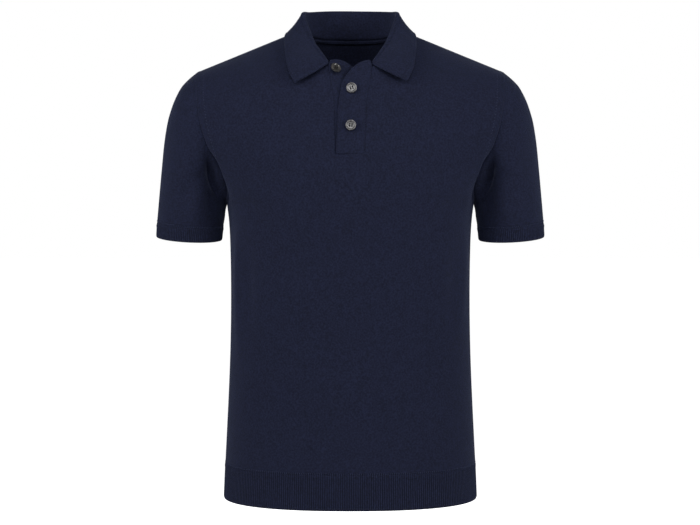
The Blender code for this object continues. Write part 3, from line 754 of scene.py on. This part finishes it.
def knit_group():
    """Fine knitted loops: columns of small V shapes, from metres across and up the cloth. Shade is painted
    shade, darker in the gaps between the loops.
    """
    tree, given, made = group_tree(
        "knit_loops",
        [
            ("NodeSocketVector", "Cloth", None),
            ("NodeSocketFloat", "Wale", 0.0013),
            ("NodeSocketFloat", "Course", 0.0011),
        ],
        [("NodeSocketFloat", "Height"), ("NodeSocketFloat", "Shade")],
    )
    split = node(tree, "ShaderNodeSeparateXYZ")
    tree.links.new(given.outputs["Cloth"], split.inputs[0])
    wander = maths(tree, "MULTIPLY_ADD", noise(tree, given.outputs["Cloth"], 90.0, 2.0), 0.5, -0.25)
    wales = maths(tree, "DIVIDE", split.outputs["X"], given.outputs["Wale"])
    wales = maths(tree, "ADD", wales, wander)
    local = maths(tree, "SUBTRACT", maths(tree, "FRACT", wales), 0.5)
    aside = maths(tree, "MULTIPLY", maths(tree, "ABSOLUTE", local), 2.0)
    courses = maths(tree, "DIVIDE", split.outputs["Y"], given.outputs["Course"])
    courses = maths(tree, "ADD", courses, wander)
    slanted = maths(tree, "SUBTRACT", courses, maths(tree, "MULTIPLY", aside, 0.55))
    loop = maths(tree, "COSINE", maths(tree, "MULTIPLY", slanted, 2 * math.pi))
    loop = maths(tree, "MULTIPLY_ADD", loop, 0.5, 0.5)
    off_leg = maths(tree, "SUBTRACT", aside, 0.5)
    off_leg = maths(tree, "MULTIPLY", maths(tree, "MULTIPLY", off_leg, off_leg), 4.0)
    leg = maths(tree, "SUBTRACT", 1.0, off_leg)
    height = maths(tree, "MULTIPLY", leg, maths(tree, "MULTIPLY_ADD", loop, 0.55, 0.45))
    tree.links.new(height, made.inputs["Height"])
    # Painted shade: the colour is darker where the loops sink, in the gaps between them.
    tree.links.new(maths(tree, "MULTIPLY_ADD", height, 0.35, 0.72), made.inputs["Shade"])
    return tree


def mottle_group():
    """Soft cloudy differences of tone, as cotton yarn takes its dye, and fine fuzz."""
    tree, given, made = group_tree(
        "yarn_mottle",
        [("NodeSocketVector", "Place", None)],
        [("NodeSocketFloat", "Tone"), ("NodeSocketFloat", "Fuzz")],
    )
    cloud = 0.0
    for scale, detail, share in ((9.0, 2.0, 0.06), (90.0, 3.0, 0.12), (430.0, 1.5, 0.82)):
        fuzz = noise(tree, given.outputs["Place"], scale, detail)
        cloud = maths(tree, "MULTIPLY_ADD", fuzz, share, cloud)
    tree.links.new(cloud, made.inputs["Tone"])
    tree.links.new(fuzz, made.inputs["Fuzz"])
    return tree


def new_finish(name):
    finish = bpy.data.materials.new(name)
    finish.use_nodes = True
    return finish, finish.node_tree, finish.node_tree.nodes["Principled BSDF"]


def put_group(tree, group, **values):
    made = tree.nodes.new("ShaderNodeGroup")
    made.node_tree = group
    for key, value in values.items():
        made.inputs[key].default_value = value
    return made


def cloth_material(name, base, groups, wale, course, bump, contrast, sheen, groove_shade=0.0):
    finish, tree, shader = new_finish(name)
    shader.inputs["Roughness"].default_value = 0.9
    shader.inputs["Specular IOR Level"].default_value = 0.15
    shader.inputs["Sheen Weight"].default_value = sheen
    shader.inputs["Sheen Roughness"].default_value = 0.45
    shader.inputs["Sheen Tint"].default_value = (0.50, 0.60, 1.0, 1.0)
    knit, mottle = groups
    uv = node(tree, "ShaderNodeUVMap", uv_map="cloth")
    loops = put_group(tree, knit, Wale=wale, Course=course)
    tree.links.new(uv.outputs["UV"], loops.inputs["Cloth"])
    where = node(tree, "ShaderNodeTexCoord")
    yarn = put_group(tree, mottle)
    tree.links.new(where.outputs["Object"], yarn.inputs["Place"])
    tone = carried(tree, yarn.outputs["Tone"], 0.35, 0.65, 1 - contrast, 1 + contrast)
    # The yarn's own tone, times the painted shade between the loops.
    shade = maths(tree, "MULTIPLY", tone, loops.outputs["Shade"])
    # Painted shade: the base colour is darker in the rib grooves, by this level.
    if groove_shade:
        depth = node(tree, "ShaderNodeAttribute", attribute_name="groove_shade")
        depth = maths(tree, "MULTIPLY_ADD", depth.outputs["Fac"], -groove_shade, 1.0)
        shade = maths(tree, "MULTIPLY", shade, depth)
    tree.links.new(toned(tree, base, shade), shader.inputs["Base Color"])
    rough = carried(tree, yarn.outputs["Fuzz"], 0.3, 0.7, 0.84, 0.96)
    tree.links.new(rough, shader.inputs["Roughness"])
    height = maths(tree, "MULTIPLY_ADD", yarn.outputs["Fuzz"], 0.35, loops.outputs["Height"])
    tree.links.new(bumped(tree, height, bump, 0.0003), shader.inputs["Normal"])
    return finish


def horn_material(name, darkest, middling, palest):
    """Dark polished horn: cloudy grey and brown streaks under a light gloss."""
    finish, tree, shader = new_finish(name)
    shader.inputs["Coat Weight"].default_value = 0.4
    shader.inputs["Coat Roughness"].default_value = 0.15
    where = node(tree, "ShaderNodeTexCoord")
    stretch = node(tree, "ShaderNodeMapping")
    stretch.inputs["Scale"].default_value = (150.0, 70.0, 210.0)
    stretch.inputs["Rotation"].default_value = (0.2, 0.0, 0.5)
    tree.links.new(where.outputs["Object"], stretch.inputs["Vector"])
    cloud = noise(tree, stretch.outputs[0], 1.0, 4.0)
    ramp = node(tree, "ShaderNodeValToRGB")
    stops = ramp.color_ramp.elements
    stops[0].position, stops[0].color = 0.30, darkest
    stops[1].position, stops[1].color = 0.72, palest
    middle = stops.new(0.5)
    middle.color = middling
    tree.links.new(cloud, ramp.inputs[0])
    tree.links.new(ramp.outputs[0], shader.inputs["Base Color"])
    tree.links.new(carried(tree, cloud, 0.3, 0.7, 0.22, 0.42), shader.inputs["Roughness"])
    tree.links.new(bumped(tree, cloud, 0.1, 0.0002), shader.inputs["Normal"])
    return finish


def thread_material(name, base):
    finish, tree, shader = new_finish(name)
    shader.inputs["Roughness"].default_value = 0.6
    shader.inputs["Specular IOR Level"].default_value = 0.2
    where = node(tree, "ShaderNodeTexCoord")
    level = carried(tree, noise(tree, where.outputs["Object"], 900.0, 2.0), 0.3, 0.7, 0.75, 1.3)
    tree.links.new(toned(tree, base, level), shader.inputs["Base Color"])
    return finish


# ---------------------------------------------------------------- the pieces


def finish_piece(obj, finish, replaced=()):
    obj.data.materials.append(finish)
    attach(obj, "root")
    if replaced:
        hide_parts(*replaced)
    return obj


def seam_ridge(grid):
    """A low ridge beside the outer seams, and a trough along them."""
    across = lengths_across(grid)
    return relief_at(np.minimum(across, across[:, -1:] - across), PANEL_SEAM)


front_base, back_base = panel_grid(-1), panel_grid(1)
armhole, front_points = armhole_line(front_base, back_base)
ring_steps = [SHOULDER_STEPS] * 2 + [BICEP_STEPS] * 3 + [SLEEVE_STEPS] * 4 + [CUFF_STEPS] * 2
fine_rings = smooth_through(SLEEVE_RINGS, ring_steps)
sleeve_base = sleeve_rings(armhole, front_points, fine_rings)
sleeve_base = np.concatenate([sleeve_base, sleeve_base[:, :1]], axis=1)
cuff_row = sum(ring_steps[:CUFF_START])
to_the_right = np.array((-1.0, 1.0, 1.0))
front_cells, back_cells = panel_cells(front_base, -1), panel_cells(back_base, 1)
bases = [
    (front_base, False, front_cells),
    (back_base, True, back_cells),
    (sleeve_base, True, None),
    (sleeve_base * to_the_right, False, None),
]
relieved = []
for (grid, flipped, cells), normals in zip(bases, shared_normals(bases)):
    relief = crease_relief(grid)
    relieved.append((grid + normals * relief[..., None], flipped, cells))
final_normals = shared_normals(relieved)
front_grid, back_grid, left_grid, right_grid = (entry[0] for entry in relieved)
front_normals, back_normals, left_normals, right_normals = final_normals

knit_groups = (knit_group(), mottle_group())
navy_knit = cloth_material(
    "navy_knit_cloth", NAVY, knit_groups, wale=0.0013, course=0.0011, bump=0.35, contrast=0.34, sheen=0.10
)
navy_rib = cloth_material(
    "navy_rib_cloth", NAVY_RIB, knit_groups, wale=0.00155, course=0.0011, bump=0.35, contrast=0.32,
    sheen=0.10, groove_shade=0.80,
)
navy_collar = cloth_material(
    "navy_collar_cloth", NAVY, knit_groups, wale=0.0011, course=0.0010, bump=0.30, contrast=0.34, sheen=0.12
)
horn = horn_material(
    "mottled_horn", (0.045, 0.044, 0.047, 1), (0.085, 0.083, 0.087, 1), (0.165, 0.163, 0.166, 1)
)
# The same horn painted darker: painted shade for the top button, which lies in the shade of the left collar
# leaf.
painted_shade_horn = horn_material(
    "painted_shade_horn", (0.022, 0.021, 0.021, 1), (0.040, 0.038, 0.037, 1), (0.085, 0.080, 0.076, 1)
)
navy_thread = thread_material("navy_thread", (0.030, 0.038, 0.084))
dark_thread = thread_material("button_thread", (0.004, 0.0045, 0.008))

rib_row = rib_top_index()
body_front = front_grid + front_normals * seam_ridge(front_grid)[..., None]
body_back = back_grid + back_normals * seam_ridge(back_grid)[..., None]
front_piece = cloth_wall(
    "front_cloth", body_front[rib_row:], front_normals[rib_row:], KNIT_WALL,
    cloth_uv(front_base[rib_row:]), cells=front_cells[rib_row:],
)
back_piece = cloth_wall(
    "back_cloth", body_back[rib_row:], back_normals[rib_row:], KNIT_WALL,
    cloth_uv(back_base[rib_row:]), cells=back_cells[rib_row:], flip=True,
)
finish_piece(front_piece, navy_knit, ["front"])
finish_piece(back_piece, navy_knit, ["back"])


# ---------------------------------------------------------------- sleeves, cuffs and hem ribs

armhole_rise = relief_at(lengths_along(sleeve_base[:, 0]), ARMHOLE_SEAM)
for side, grid, normals, flipped in (
    ("left", left_grid, left_normals, True),
    ("right", right_grid, right_normals, False),
):
    raised = grid + normals * armhole_rise[:, None, None]
    rows = slice(0, cuff_row + 1)
    sleeve = cloth_wall(
        f"sleeve_{side}_cloth", raised[rows], normals[rows], KNIT_WALL, cloth_uv(sleeve_base[rows]),
        flip=flipped,
    )
    finish_piece(sleeve, navy_knit, [f"sleeve_{side}"])


def ribbed_wall(name, grid, normals, flip, free_side):
    """A knitted rib: one corrugated wall, smooth at its seam and rolled in at its free edge, with painted
    shade in its grooves.
    """
    rows, columns = grid.shape[:2]
    up = lengths_along(grid[:, 0])
    from_free = up if free_side < 0 else up[-1] - up
    from_seam = up[-1] - from_free
    wave = np.abs(np.cos(math.pi * np.arange(columns) / STEPS_PER_RIB)) - RIB_WAVE_MIDDLE
    strength = EDGE_STRENGTH + (1 - EDGE_STRENGTH) * np.clip(from_free / EDGE_FADE, 0, 1)
    strength = np.clip(from_seam / SEAM_FADE, 0, 1) * strength
    relief = RIB_DEPTH * strength[:, None] * wave[None, :]
    relief += (relief_at(from_free, RIB_EDGE) + relief_at(from_seam, RIB_SEAM))[:, None]
    roll = np.full((rows, columns), SEAM_ROLL)
    drawn = np.zeros((rows, columns))
    free_row = 0 if free_side < 0 else -1
    roll[free_row] = FREE_ROLL * RIB_WALL
    drawn[free_row] = FREE_RIB_DRAWN
    # Painted shade in the grooves between ribs, where the wave sinks.
    groove_shade = np.broadcast_to(np.clip(GROOVE_SHADE_LEVEL - wave, 0, 1), (rows, columns))
    return cloth_wall(
        name, grid + normals * relief[..., None], normals, RIB_WALL, cloth_uv(grid), roll=roll,
        gap=drawn, flip=flip, groove_shade=groove_shade,
    )


def rib_rows(grid, pitch):
    """Each row moved to even steps along it, a whole number of steps for each rib."""
    length = lengths_along(grid[len(grid) // 2])[-1]
    ribs = round(length / pitch)
    count = ribs * STEPS_PER_RIB
    return np.array([points_at(row, np.linspace(0, lengths_along(row)[-1], count + 1)) for row in grid])


hem_grids = []
for grid in (front_grid, back_grid):
    right, left = (rib_rows(half_of(grid[: rib_row + 2], side), RIB_PITCH) for side in (-1, 1))
    hem_grids.append(np.concatenate([right[:, :0:-1], left], axis=1))
hem_normals = shared_normals([(hem_grids[0], False, None), (hem_grids[1], True, None)])
for name, grid, normals in zip(("front", "back"), hem_grids, hem_normals):
    rows = slice(0, rib_row + 1)
    hem = ribbed_wall(f"hem_rib_{name}_cloth", grid[rows], normals[rows], name == "back", -1)
    finish_piece(hem, navy_rib, [f"hem_rib_{name}"])

for side, grid, flipped in (("left", left_grid, True), ("right", right_grid, False)):
    loops = rib_rows(grid[cuff_row - 1 :], CUFF_RIB_PITCH)
    (normals,) = shared_normals([(loops, flipped, None)])
    cuff = ribbed_wall(f"cuff_{side}_cloth", loops[1:], normals[1:], flipped, 1)
    finish_piece(cuff, navy_rib, [f"cuff_{side}"])

# ---------------------------------------------------------------- collar and plackets

COLLAR_STEPS = 16
STAND_STEPS = 8
FOLD_STEPS = 12
FALL_STEPS = 26
RIM_COLUMNS = 7
RIM_BAND = 0.0056
COLLAR_WOBBLE = 0.0003
WOBBLE_ALONG = 31
WOBBLE_ACROSS = 2.4
BOW_STATIONS = 0.5
BOW_FADE = 1.5


def collar_grid():
    """Fine sections of the collar from the wearer's right front end round the back to the left."""
    table = np.array([[station.neck, station.fold, station.edge] for station in COLLAR])
    half = smooth_through(table, COLLAR_STEPS)
    swells = smooth_through([[station.swell] for station in COLLAR], COLLAR_STEPS)[:, 0]
    left = half.copy()
    left[:, 2] += (np.linspace(0, 1, len(half)) ** TIP_SHIFT_POWER)[:, None] * LEFT_TIP_SHIFT
    whole = np.concatenate([half[::-1] * (-1, 1, 1), left[1:]])
    swells = np.concatenate([swells[::-1], swells[1:]])
    up = np.array((0.0, 0.0, 1.0))
    sections = []
    last = len(whole) - 1
    for index, (neck, fold, edge) in enumerate(whole):
        out = unit((fold - NECK_CENTRE) * (1, 1, 0))
        foot = neck - out * FOOT_INSET + up * FOOT_RISE
        shoulder = fold - (out + up) * FOLD_RADIUS
        turn = fold - up * FOLD_RADIUS
        stand = foot + np.linspace(0, 1, STAND_STEPS + 1)[:, None] * (shoulder - foot)
        sweep = np.radians(np.linspace(FOLD_START, 0, FOLD_STEPS + 1))[:, None]
        bend = turn + FOLD_RADIUS * (np.cos(sweep) * out + np.sin(sweep) * up)
        start = bend[-1]
        across = unit(np.cross(np.cross(out, up), edge - start))
        crown = across if across[2] > 0 else -across
        from_end = min(index, last - index) / (COLLAR_STEPS * BOW_STATIONS)
        near_end = max(0.0, 1 - from_end) ** BOW_FADE
        rim = 1 - RIM_BAND / np.linalg.norm(edge - start)
        part = np.linspace(0, rim, FALL_STEPS + 1)
        part = np.concatenate([part, np.linspace(rim, 1, RIM_COLUMNS + 1)[1:]])
        swell = np.sin(math.pi * part)[:, None]
        fall = start + (edge - start) * part[:, None] + crown * swells[index] * swell
        fall -= up * END_BOW * near_end * swell
        sections.append(np.concatenate([stand, bend, fall[1:]]))
    return np.array(sections)


collar = collar_grid()
(normals,) = shared_normals([(collar, True, None)])
fall_start = STAND_STEPS + FOLD_STEPS + 1
to_edge = lengths_across(collar[:, ::-1])[:, ::-1]
to_end = lengths_across(collar.transpose(1, 0, 2)).T
to_end = np.minimum(to_end, to_end[-1] - to_end)
from_rim = np.minimum(to_edge, np.where(np.arange(collar.shape[1]) > fall_start, to_end, 1.0))
wobble = np.sin(np.linspace(0, WOBBLE_ALONG, len(collar)))[:, None]
wobble = wobble * np.sin(np.linspace(0, WOBBLE_ACROSS, collar.shape[1]))
collar_relief = relief_at(from_rim, COLLAR_EDGE) + COLLAR_WOBBLE * wobble
roll = np.full(collar.shape[:2], FREE_ROLL * COLLAR_WALL)
roll[:, 0] = SEAM_ROLL
collar_piece = cloth_wall(
    "collar_cloth", collar + normals * collar_relief[..., None], normals, COLLAR_WALL,
    cloth_uv(collar), roll=roll, flip=True,
)
finish_piece(collar_piece, navy_collar, ["collar"])

PLACKET_STEPS = 14
PLACKET_COLUMNS = 44


def placket_grid(table):
    """Rows of a placket from the foot up: its top edge rises in a bow between its two corners."""
    rows = smooth_through([[*strip.sewn, *strip.free] for strip in table], PLACKET_STEPS)
    part = np.linspace(0, 1, PLACKET_COLUMNS + 1)[:, None]
    bow = np.maximum(np.sin(math.pi * part), 0) ** BOW_ROUND + CORNER_RISE * (1 - part) ** 2
    bow = PLACKET_BOW * bow * (0.0, BOW_LEAN, 1.0)
    rises = np.linspace(0, 1, len(rows)) ** BOW_START
    return np.array([row[:3] + part * (row[3:] - row[:3]) + rise * bow for row, rise in zip(rows, rises)])


for name, table, flipped, crown in (
    ("placket_upper", PLACKET_UPPER, True, 0.0007),
    ("placket_under", PLACKET_UNDER, False, 0.0003),
):
    grid = placket_grid(table)
    (normals,) = shared_normals([(grid, flipped, None)])
    across = lengths_across(grid)
    up = lengths_across(grid.transpose(1, 0, 2)).T
    rim = np.minimum(across[:, -1:] - across, up[-1:] - up)
    relief = relief_at(rim, PLACKET_EDGE)
    relief += relief_at(across, PLACKET_SEAM) + relief_at(up, PLACKET_FOOT)
    relief += crown * np.sin(math.pi * across / across[:, -1:]) * np.clip(up / 0.01, 0, 1)
    roll = np.full(grid.shape[:2], FREE_ROLL * PLACKET_WALL)
    roll[:, 0] = SEAM_ROLL
    piece = cloth_wall(
        f"{name}_cloth", grid + normals * relief[..., None], normals, PLACKET_WALL, cloth_uv(grid),
        roll=roll, gap=-PLACKET_SPREAD, flip=flipped,
    )
    finish_piece(piece, navy_collar, [name])

# ---------------------------------------------------------------- neck band

BAND_COLUMNS = 10
BAND_POINTS = 160
BAND_RIDGE = 0.0003


def neck_band():
    """A narrow ridged tape on the inside of the back, just below the collar seam."""
    first = neck_row_index()
    ends = [half_of(back_grid[first:], side)[:, 0] for side in (-1, 1)]
    outs = [half_of(back_normals[first:], side)[:, 0] for side in (-1, 1)]
    line = np.concatenate([ends[0][:0:-1], ends[1]])
    out = np.concatenate([outs[0][:0:-1], outs[1]])
    moved = lengths_along(line)
    wanted = np.linspace(0, moved[-1], BAND_POINTS)
    line, out = points_at(line, wanted), unit(values_at(moved, wanted, out))
    along = unit(np.gradient(line, axis=0))
    down = unit(np.cross(out, along))
    down = np.where(down[:, 2:] > 0, -down, down)
    part = np.linspace(NECK_BAND_INSET, NECK_BAND_HEIGHT, BAND_COLUMNS + 1)
    ridges = BAND_RIDGE * np.abs(np.sin(2 * math.pi * np.linspace(0, 1, BAND_COLUMNS + 1)))
    lift = KNIT_WALL + 2 * SEAM_GAP + NECK_BAND_WALL + ridges
    return line[:, None] + down[:, None] * part[:, None] - out[:, None] * lift[:, None], -out


band, band_out = neck_band()
band_normals = np.broadcast_to(band_out[:, None], band.shape)
facing = np.cross(band[1, 0] - band[0, 0], band[0, 1] - band[0, 0]) @ band_out[0]
band_piece = cloth_wall(
    "neck_band_cloth", band, band_normals, NECK_BAND_WALL, cloth_uv(band), flip=bool(facing > 0)
)
finish_piece(band_piece, navy_collar, ["neck_band"])

# ---------------------------------------------------------------- stitches


def only(obj):
    bpy.ops.object.select_all(action="DESELECT")
    obj.select_set(True)
    bpy.context.view_layer.objects.active = obj


def stitch_shape():
    """One stitch of thread: a short plump grain with pointed ends, lying along X."""
    bpy.ops.object.select_all(action="DESELECT")
    bpy.ops.mesh.primitive_uv_sphere_add(segments=6, ring_count=5, radius=1.0)
    obj = bpy.context.object
    bpy.ops.object.mode_set(mode="EDIT")
    bpy.ops.mesh.select_all(action="SELECT")
    bpy.ops.transform.rotate(value=math.pi / 2, orient_axis="Y", center_override=(0, 0, 0))
    bpy.ops.transform.resize(value=(1.0, 0.36, 0.30))
    bpy.ops.object.mode_set(mode="OBJECT")
    points = np.array([tuple(vertex.co) for vertex in obj.data.vertices])
    faces = [tuple(face.vertices) for face in obj.data.polygons]
    bpy.data.objects.remove(obj, do_unlink=True)
    return points, faces


STITCH = stitch_shape()


def stitch_row(name, line, out, pitch, length, finish, slant=0.0, lift=STITCH_LIFT):
    """Copies of the stitch along a line on the cloth, each turned to lie on it."""
    base, base_faces = STITCH
    moved = lengths_along(line)
    count = int(moved[-1] / pitch)
    wanted = (np.arange(count) + 0.5) * moved[-1] / count
    places = points_at(line, wanted)
    outs = unit(values_at(moved, wanted, out))
    ahead = unit(points_at(line, wanted + LOOK_AHEAD) - points_at(line, wanted - LOOK_AHEAD))
    aside = unit(np.cross(outs, ahead))
    points, faces = [], []
    for index, (place, up, along, side) in enumerate(zip(places, outs, ahead, aside)):
        lean = slant * (1 if index % 2 else -1)
        turned = math.cos(lean) * along + math.sin(lean) * side
        across = np.cross(up, turned)
        size = length / 2 * (1 + STITCH_VARIES * math.sin(index * VARIES_OVER))
        points.append(place + lift * up + (base * size) @ np.stack([turned, across, up]))
        faces += [[corner + index * len(base) for corner in face] for face in base_faces]
    mesh = bpy.data.meshes.new(name)
    mesh.from_pydata(np.concatenate(points).tolist(), [], faces)
    smooth(mesh)
    return finish_piece(linked(name, mesh), finish)


panels = (("front", front_grid, front_normals), ("back", back_grid, back_normals))
for name, grid, normals in panels:
    stitch_row(
        f"hem_seam_stitches_{name}", grid[rib_row] + (0, 0, HEM_STITCH_RISE), normals[rib_row],
        RIB_PITCH, HEM_STITCH, navy_thread, slant=math.pi / 2,
    )
for side, grid, normals in (("left", left_grid, left_normals), ("right", right_grid, right_normals)):
    stitch_row(
        f"cuff_seam_stitches_{side}", grid[cuff_row], normals[cuff_row], CUFF_RIB_PITCH, CUFF_STITCH,
        navy_thread, slant=math.pi / 2,
    )


def fashion_line(grid, normals, side, inset):
    """A line on a panel that keeps its distance from the armhole."""
    first = underarm_index() + UPPER_STEPS
    places, outs = [], []
    for row, out in zip(grid[first:-6], normals[first:-6]):
        half, half_out = half_of(row[None], side)[0], half_of(out[None], side)[0]
        moved = lengths_along(half)
        wanted = [moved[-1] - inset]
        places.append(points_at(half, wanted)[0])
        outs.append(values_at(moved, wanted, half_out)[0])
    return np.array(places), unit(np.array(outs))


fashion_rows = {"front": [], "back": []}
for panel, grid, normals in panels:
    for side, label in ((1, "left"), (-1, "right")):
        line, out = fashion_line(grid, normals, side, FASHION_INSET)
        fashion_rows[panel].append(
            stitch_row(
                f"fashioning_{panel}_{label}", line, out, FASHION_PITCH, FASHION_MARK, navy_thread,
                slant=FASHION_SLANT, lift=-STITCH_LIFT,
            )
        )

# ---------------------------------------------------------------- buttons


def step_face(obj, side, steps):
    """Insets the face that looks up (side 1) or down (-1), and drops it a little at each step."""
    bpy.ops.object.mode_set(mode="OBJECT")
    for face in obj.data.polygons:
        face.select = side * face.normal.z > 0.9
    bpy.ops.object.mode_set(mode="EDIT")
    bpy.ops.mesh.select_mode(type="FACE")
    for step in steps:
        bpy.ops.mesh.inset(thickness=step.inset, depth=0.0)
        bpy.ops.transform.translate(value=(0, 0, step.drop))


def drilled_button(button):
    """A turned horn button: a rounded rim round a dished face with four holes, sewn with thread."""
    bpy.ops.object.select_all(action="DESELECT")
    bpy.ops.mesh.primitive_cylinder_add(
        vertices=BUTTON_SIDES, radius=BUTTON_RADIUS, depth=BUTTON_THICKNESS, location=(0, 0, 0)
    )
    obj = bpy.context.object
    obj.name = f"{button.name}_horn"
    obj.data.name = obj.name
    bpy.ops.object.mode_set(mode="EDIT")
    bpy.ops.mesh.select_all(action="DESELECT")
    step_face(obj, 1, BUTTON_FACE)
    step_face(obj, -1, BUTTON_BACK)
    bpy.ops.object.mode_set(mode="OBJECT")
    bevel = obj.modifiers.new("Edge", "BEVEL")
    bevel.width = RIM_BEVEL
    bevel.segments = 3
    bevel.limit_method = "ANGLE"
    bevel.angle_limit = math.radians(BEVEL_ANGLE)
    bpy.context.view_layer.objects.active = obj
    bpy.ops.object.modifier_apply(modifier=bevel.name)
    for side_x in (-1, 1):
        for side_y in (-1, 1):
            bpy.ops.mesh.primitive_cylinder_add(
                vertices=HOLE_SIDES, radius=HOLE_RADIUS, depth=PIN_LENGTH,
                location=(side_x * HOLE_OFFSET, side_y * HOLE_OFFSET, 0),
            )
            pin = bpy.context.object
            drill = obj.modifiers.new("Hole", "BOOLEAN")
            drill.operation = "DIFFERENCE"
            drill.solver = "EXACT"
            drill.object = pin
            only(obj)
            bpy.ops.object.modifier_apply(modifier=drill.name)
            bpy.data.objects.remove(pin, do_unlink=True)
    only(obj)
    bpy.ops.object.shade_smooth_by_angle(angle=math.radians(SMOOTH_ANGLE))
    return obj


def sewing_thread(button, side):
    """A doubled thread from one hole of a button over to the next and down again."""
    top = BUTTON_THICKNESS / 2 * DISH_LEVEL
    curve = bpy.data.curves.new(f"{button.name}_thread_{'left' if side > 0 else 'right'}", "CURVE")
    curve.dimensions = "3D"
    curve.bevel_depth = THREAD_RADIUS
    curve.bevel_resolution = 2
    curve.resolution_u = 5
    for strand in (-1, 1):
        x = side * HOLE_OFFSET + strand * STRAND_OFFSET
        rising = (
            (x, HOLE_OFFSET, -THREAD_DEPTH),
            (x, HOLE_OFFSET - 0.0001, top - 0.0004),
            (x * 0.98, HOLE_OFFSET * 0.55, top + 0.00030),
        )
        places = [(aside, -along, up) for aside, along, up in rising]
        places += [(x * 0.96, 0.0, top + 0.00042), *reversed(rising)]
        spline = curve.splines.new("NURBS")
        spline.points.add(len(places) - 1)
        for point, place in zip(spline.points, places):
            point.co = (*place, 1.0)
        spline.use_endpoint_u = True
        spline.order_u = 4
    curve.use_fill_caps = True
    only(linked(curve.name, curve))
    bpy.ops.object.convert(target="MESH")
    obj = bpy.context.object
    smooth(obj.data)
    return obj


def set_down(obj, button):
    """Moves a piece made at the origin to its button's place, in its mesh."""
    looks = Vector(button.looks).normalized()
    obj.rotation_mode = "QUATERNION"
    obj.rotation_quaternion = looks.to_track_quat("Z", "Y")
    obj.location = Vector(button.place) + looks * (BUTTON_THICKNESS / 2 + BUTTON_LIFT)
    only(obj)
    bpy.ops.object.transform_apply(location=True, rotation=True, scale=True)


def spin_flat(obj, angle):
    only(obj)
    bpy.ops.object.mode_set(mode="EDIT")
    bpy.ops.mesh.select_all(action="SELECT")
    bpy.ops.transform.rotate(value=angle, orient_axis="Z", center_override=(0, 0, 0))
    bpy.ops.object.mode_set(mode="OBJECT")


for button in BUTTONS:
    disc = drilled_button(button)
    threads = [sewing_thread(button, side) for side in (-1, 1)]
    for part in (disc, *threads):
        spin_flat(part, button.turn)
        set_down(part, button)
    # The top button takes the horn painted darker, as painted shade from the collar leaf.
    tone = painted_shade_horn if button.name == "button_top" else horn
    finish_piece(disc, tone, [button.name])
    for part in threads:
        finish_piece(part, dark_thread)

# ---------------------------------------------------------------- studio


def area_light(name, place, target, size, watts):
    light = bpy.data.lights.new(name, "AREA")
    light.shape = "RECTANGLE"
    light.size, light.size_y = size
    light.energy = watts
    obj = linked(name, light)
    obj.location = place
    obj.rotation_euler = (Vector(target) - Vector(place)).to_track_quat("-Z", "Y").to_euler()


CAMERA_PLACE = (-0.0005, -2.48, -0.182)
CAMERA_TILT_DOWN = 3.595
CAMERA_LENS = 88.0
CAMERA_SENSOR = 36.0
FLOOR_LEVEL = -1.30
SKY_LIGHT = 0.03

scene = bpy.context.scene
camera_data = bpy.data.cameras.new("studio_camera")
camera_data.lens = CAMERA_LENS
camera_data.sensor_width = CAMERA_SENSOR
camera = linked("studio_camera", camera_data)
camera.location = CAMERA_PLACE
camera.rotation_euler = (math.radians(90 - CAMERA_TILT_DOWN), 0.0, 0.0)
scene.camera = camera

bpy.ops.object.select_all(action="DESELECT")
bpy.ops.mesh.primitive_plane_add(size=24, location=(0, 4, FLOOR_LEVEL))
floor = bpy.context.object
floor.name = "studio_floor"
pale, pale_tree, ground = new_finish("pale_floor")
ground.inputs["Base Color"].default_value = (0.92, 0.92, 0.93, 1)
ground.inputs["Roughness"].default_value = 0.95
ground.inputs["Emission Color"].default_value = (1, 1, 1, 1)
glow = pale_tree.nodes.new("ShaderNodeLightPath")
pale_tree.links.new(glow.outputs["Is Camera Ray"], ground.inputs["Emission Strength"])
floor.data.materials.append(pale)

world = bpy.data.worlds.new("studio")
world.use_nodes = True
sky = world.node_tree
background = sky.nodes["Background"]
path = sky.nodes.new("ShaderNodeLightPath")
level = maths(sky, "MULTIPLY_ADD", path.outputs["Is Camera Ray"], 1 - SKY_LIGHT, SKY_LIGHT)
sky.links.new(level, background.inputs["Strength"])
background.inputs["Color"].default_value = (1, 1, 1, 1)
scene.world = world

area_light("key_left", (-1.45, -1.0, 0.35), (0, 0, -0.28), (0.9, 1.2), 17)
area_light("key_right", (1.45, -1.0, 0.35), (0, 0, -0.28), (0.9, 1.2), 17)
area_light("front_fill", (0, -2.7, 1.75), (0, 0, -0.2), (1.6, 0.8), 32)
area_light("back_fill", (0, 3.0, 0.6), (0, 0, -0.3), (2.4, 1.8), 60)

scene.view_settings.view_transform = "Standard"
scene.view_settings.look = "None"
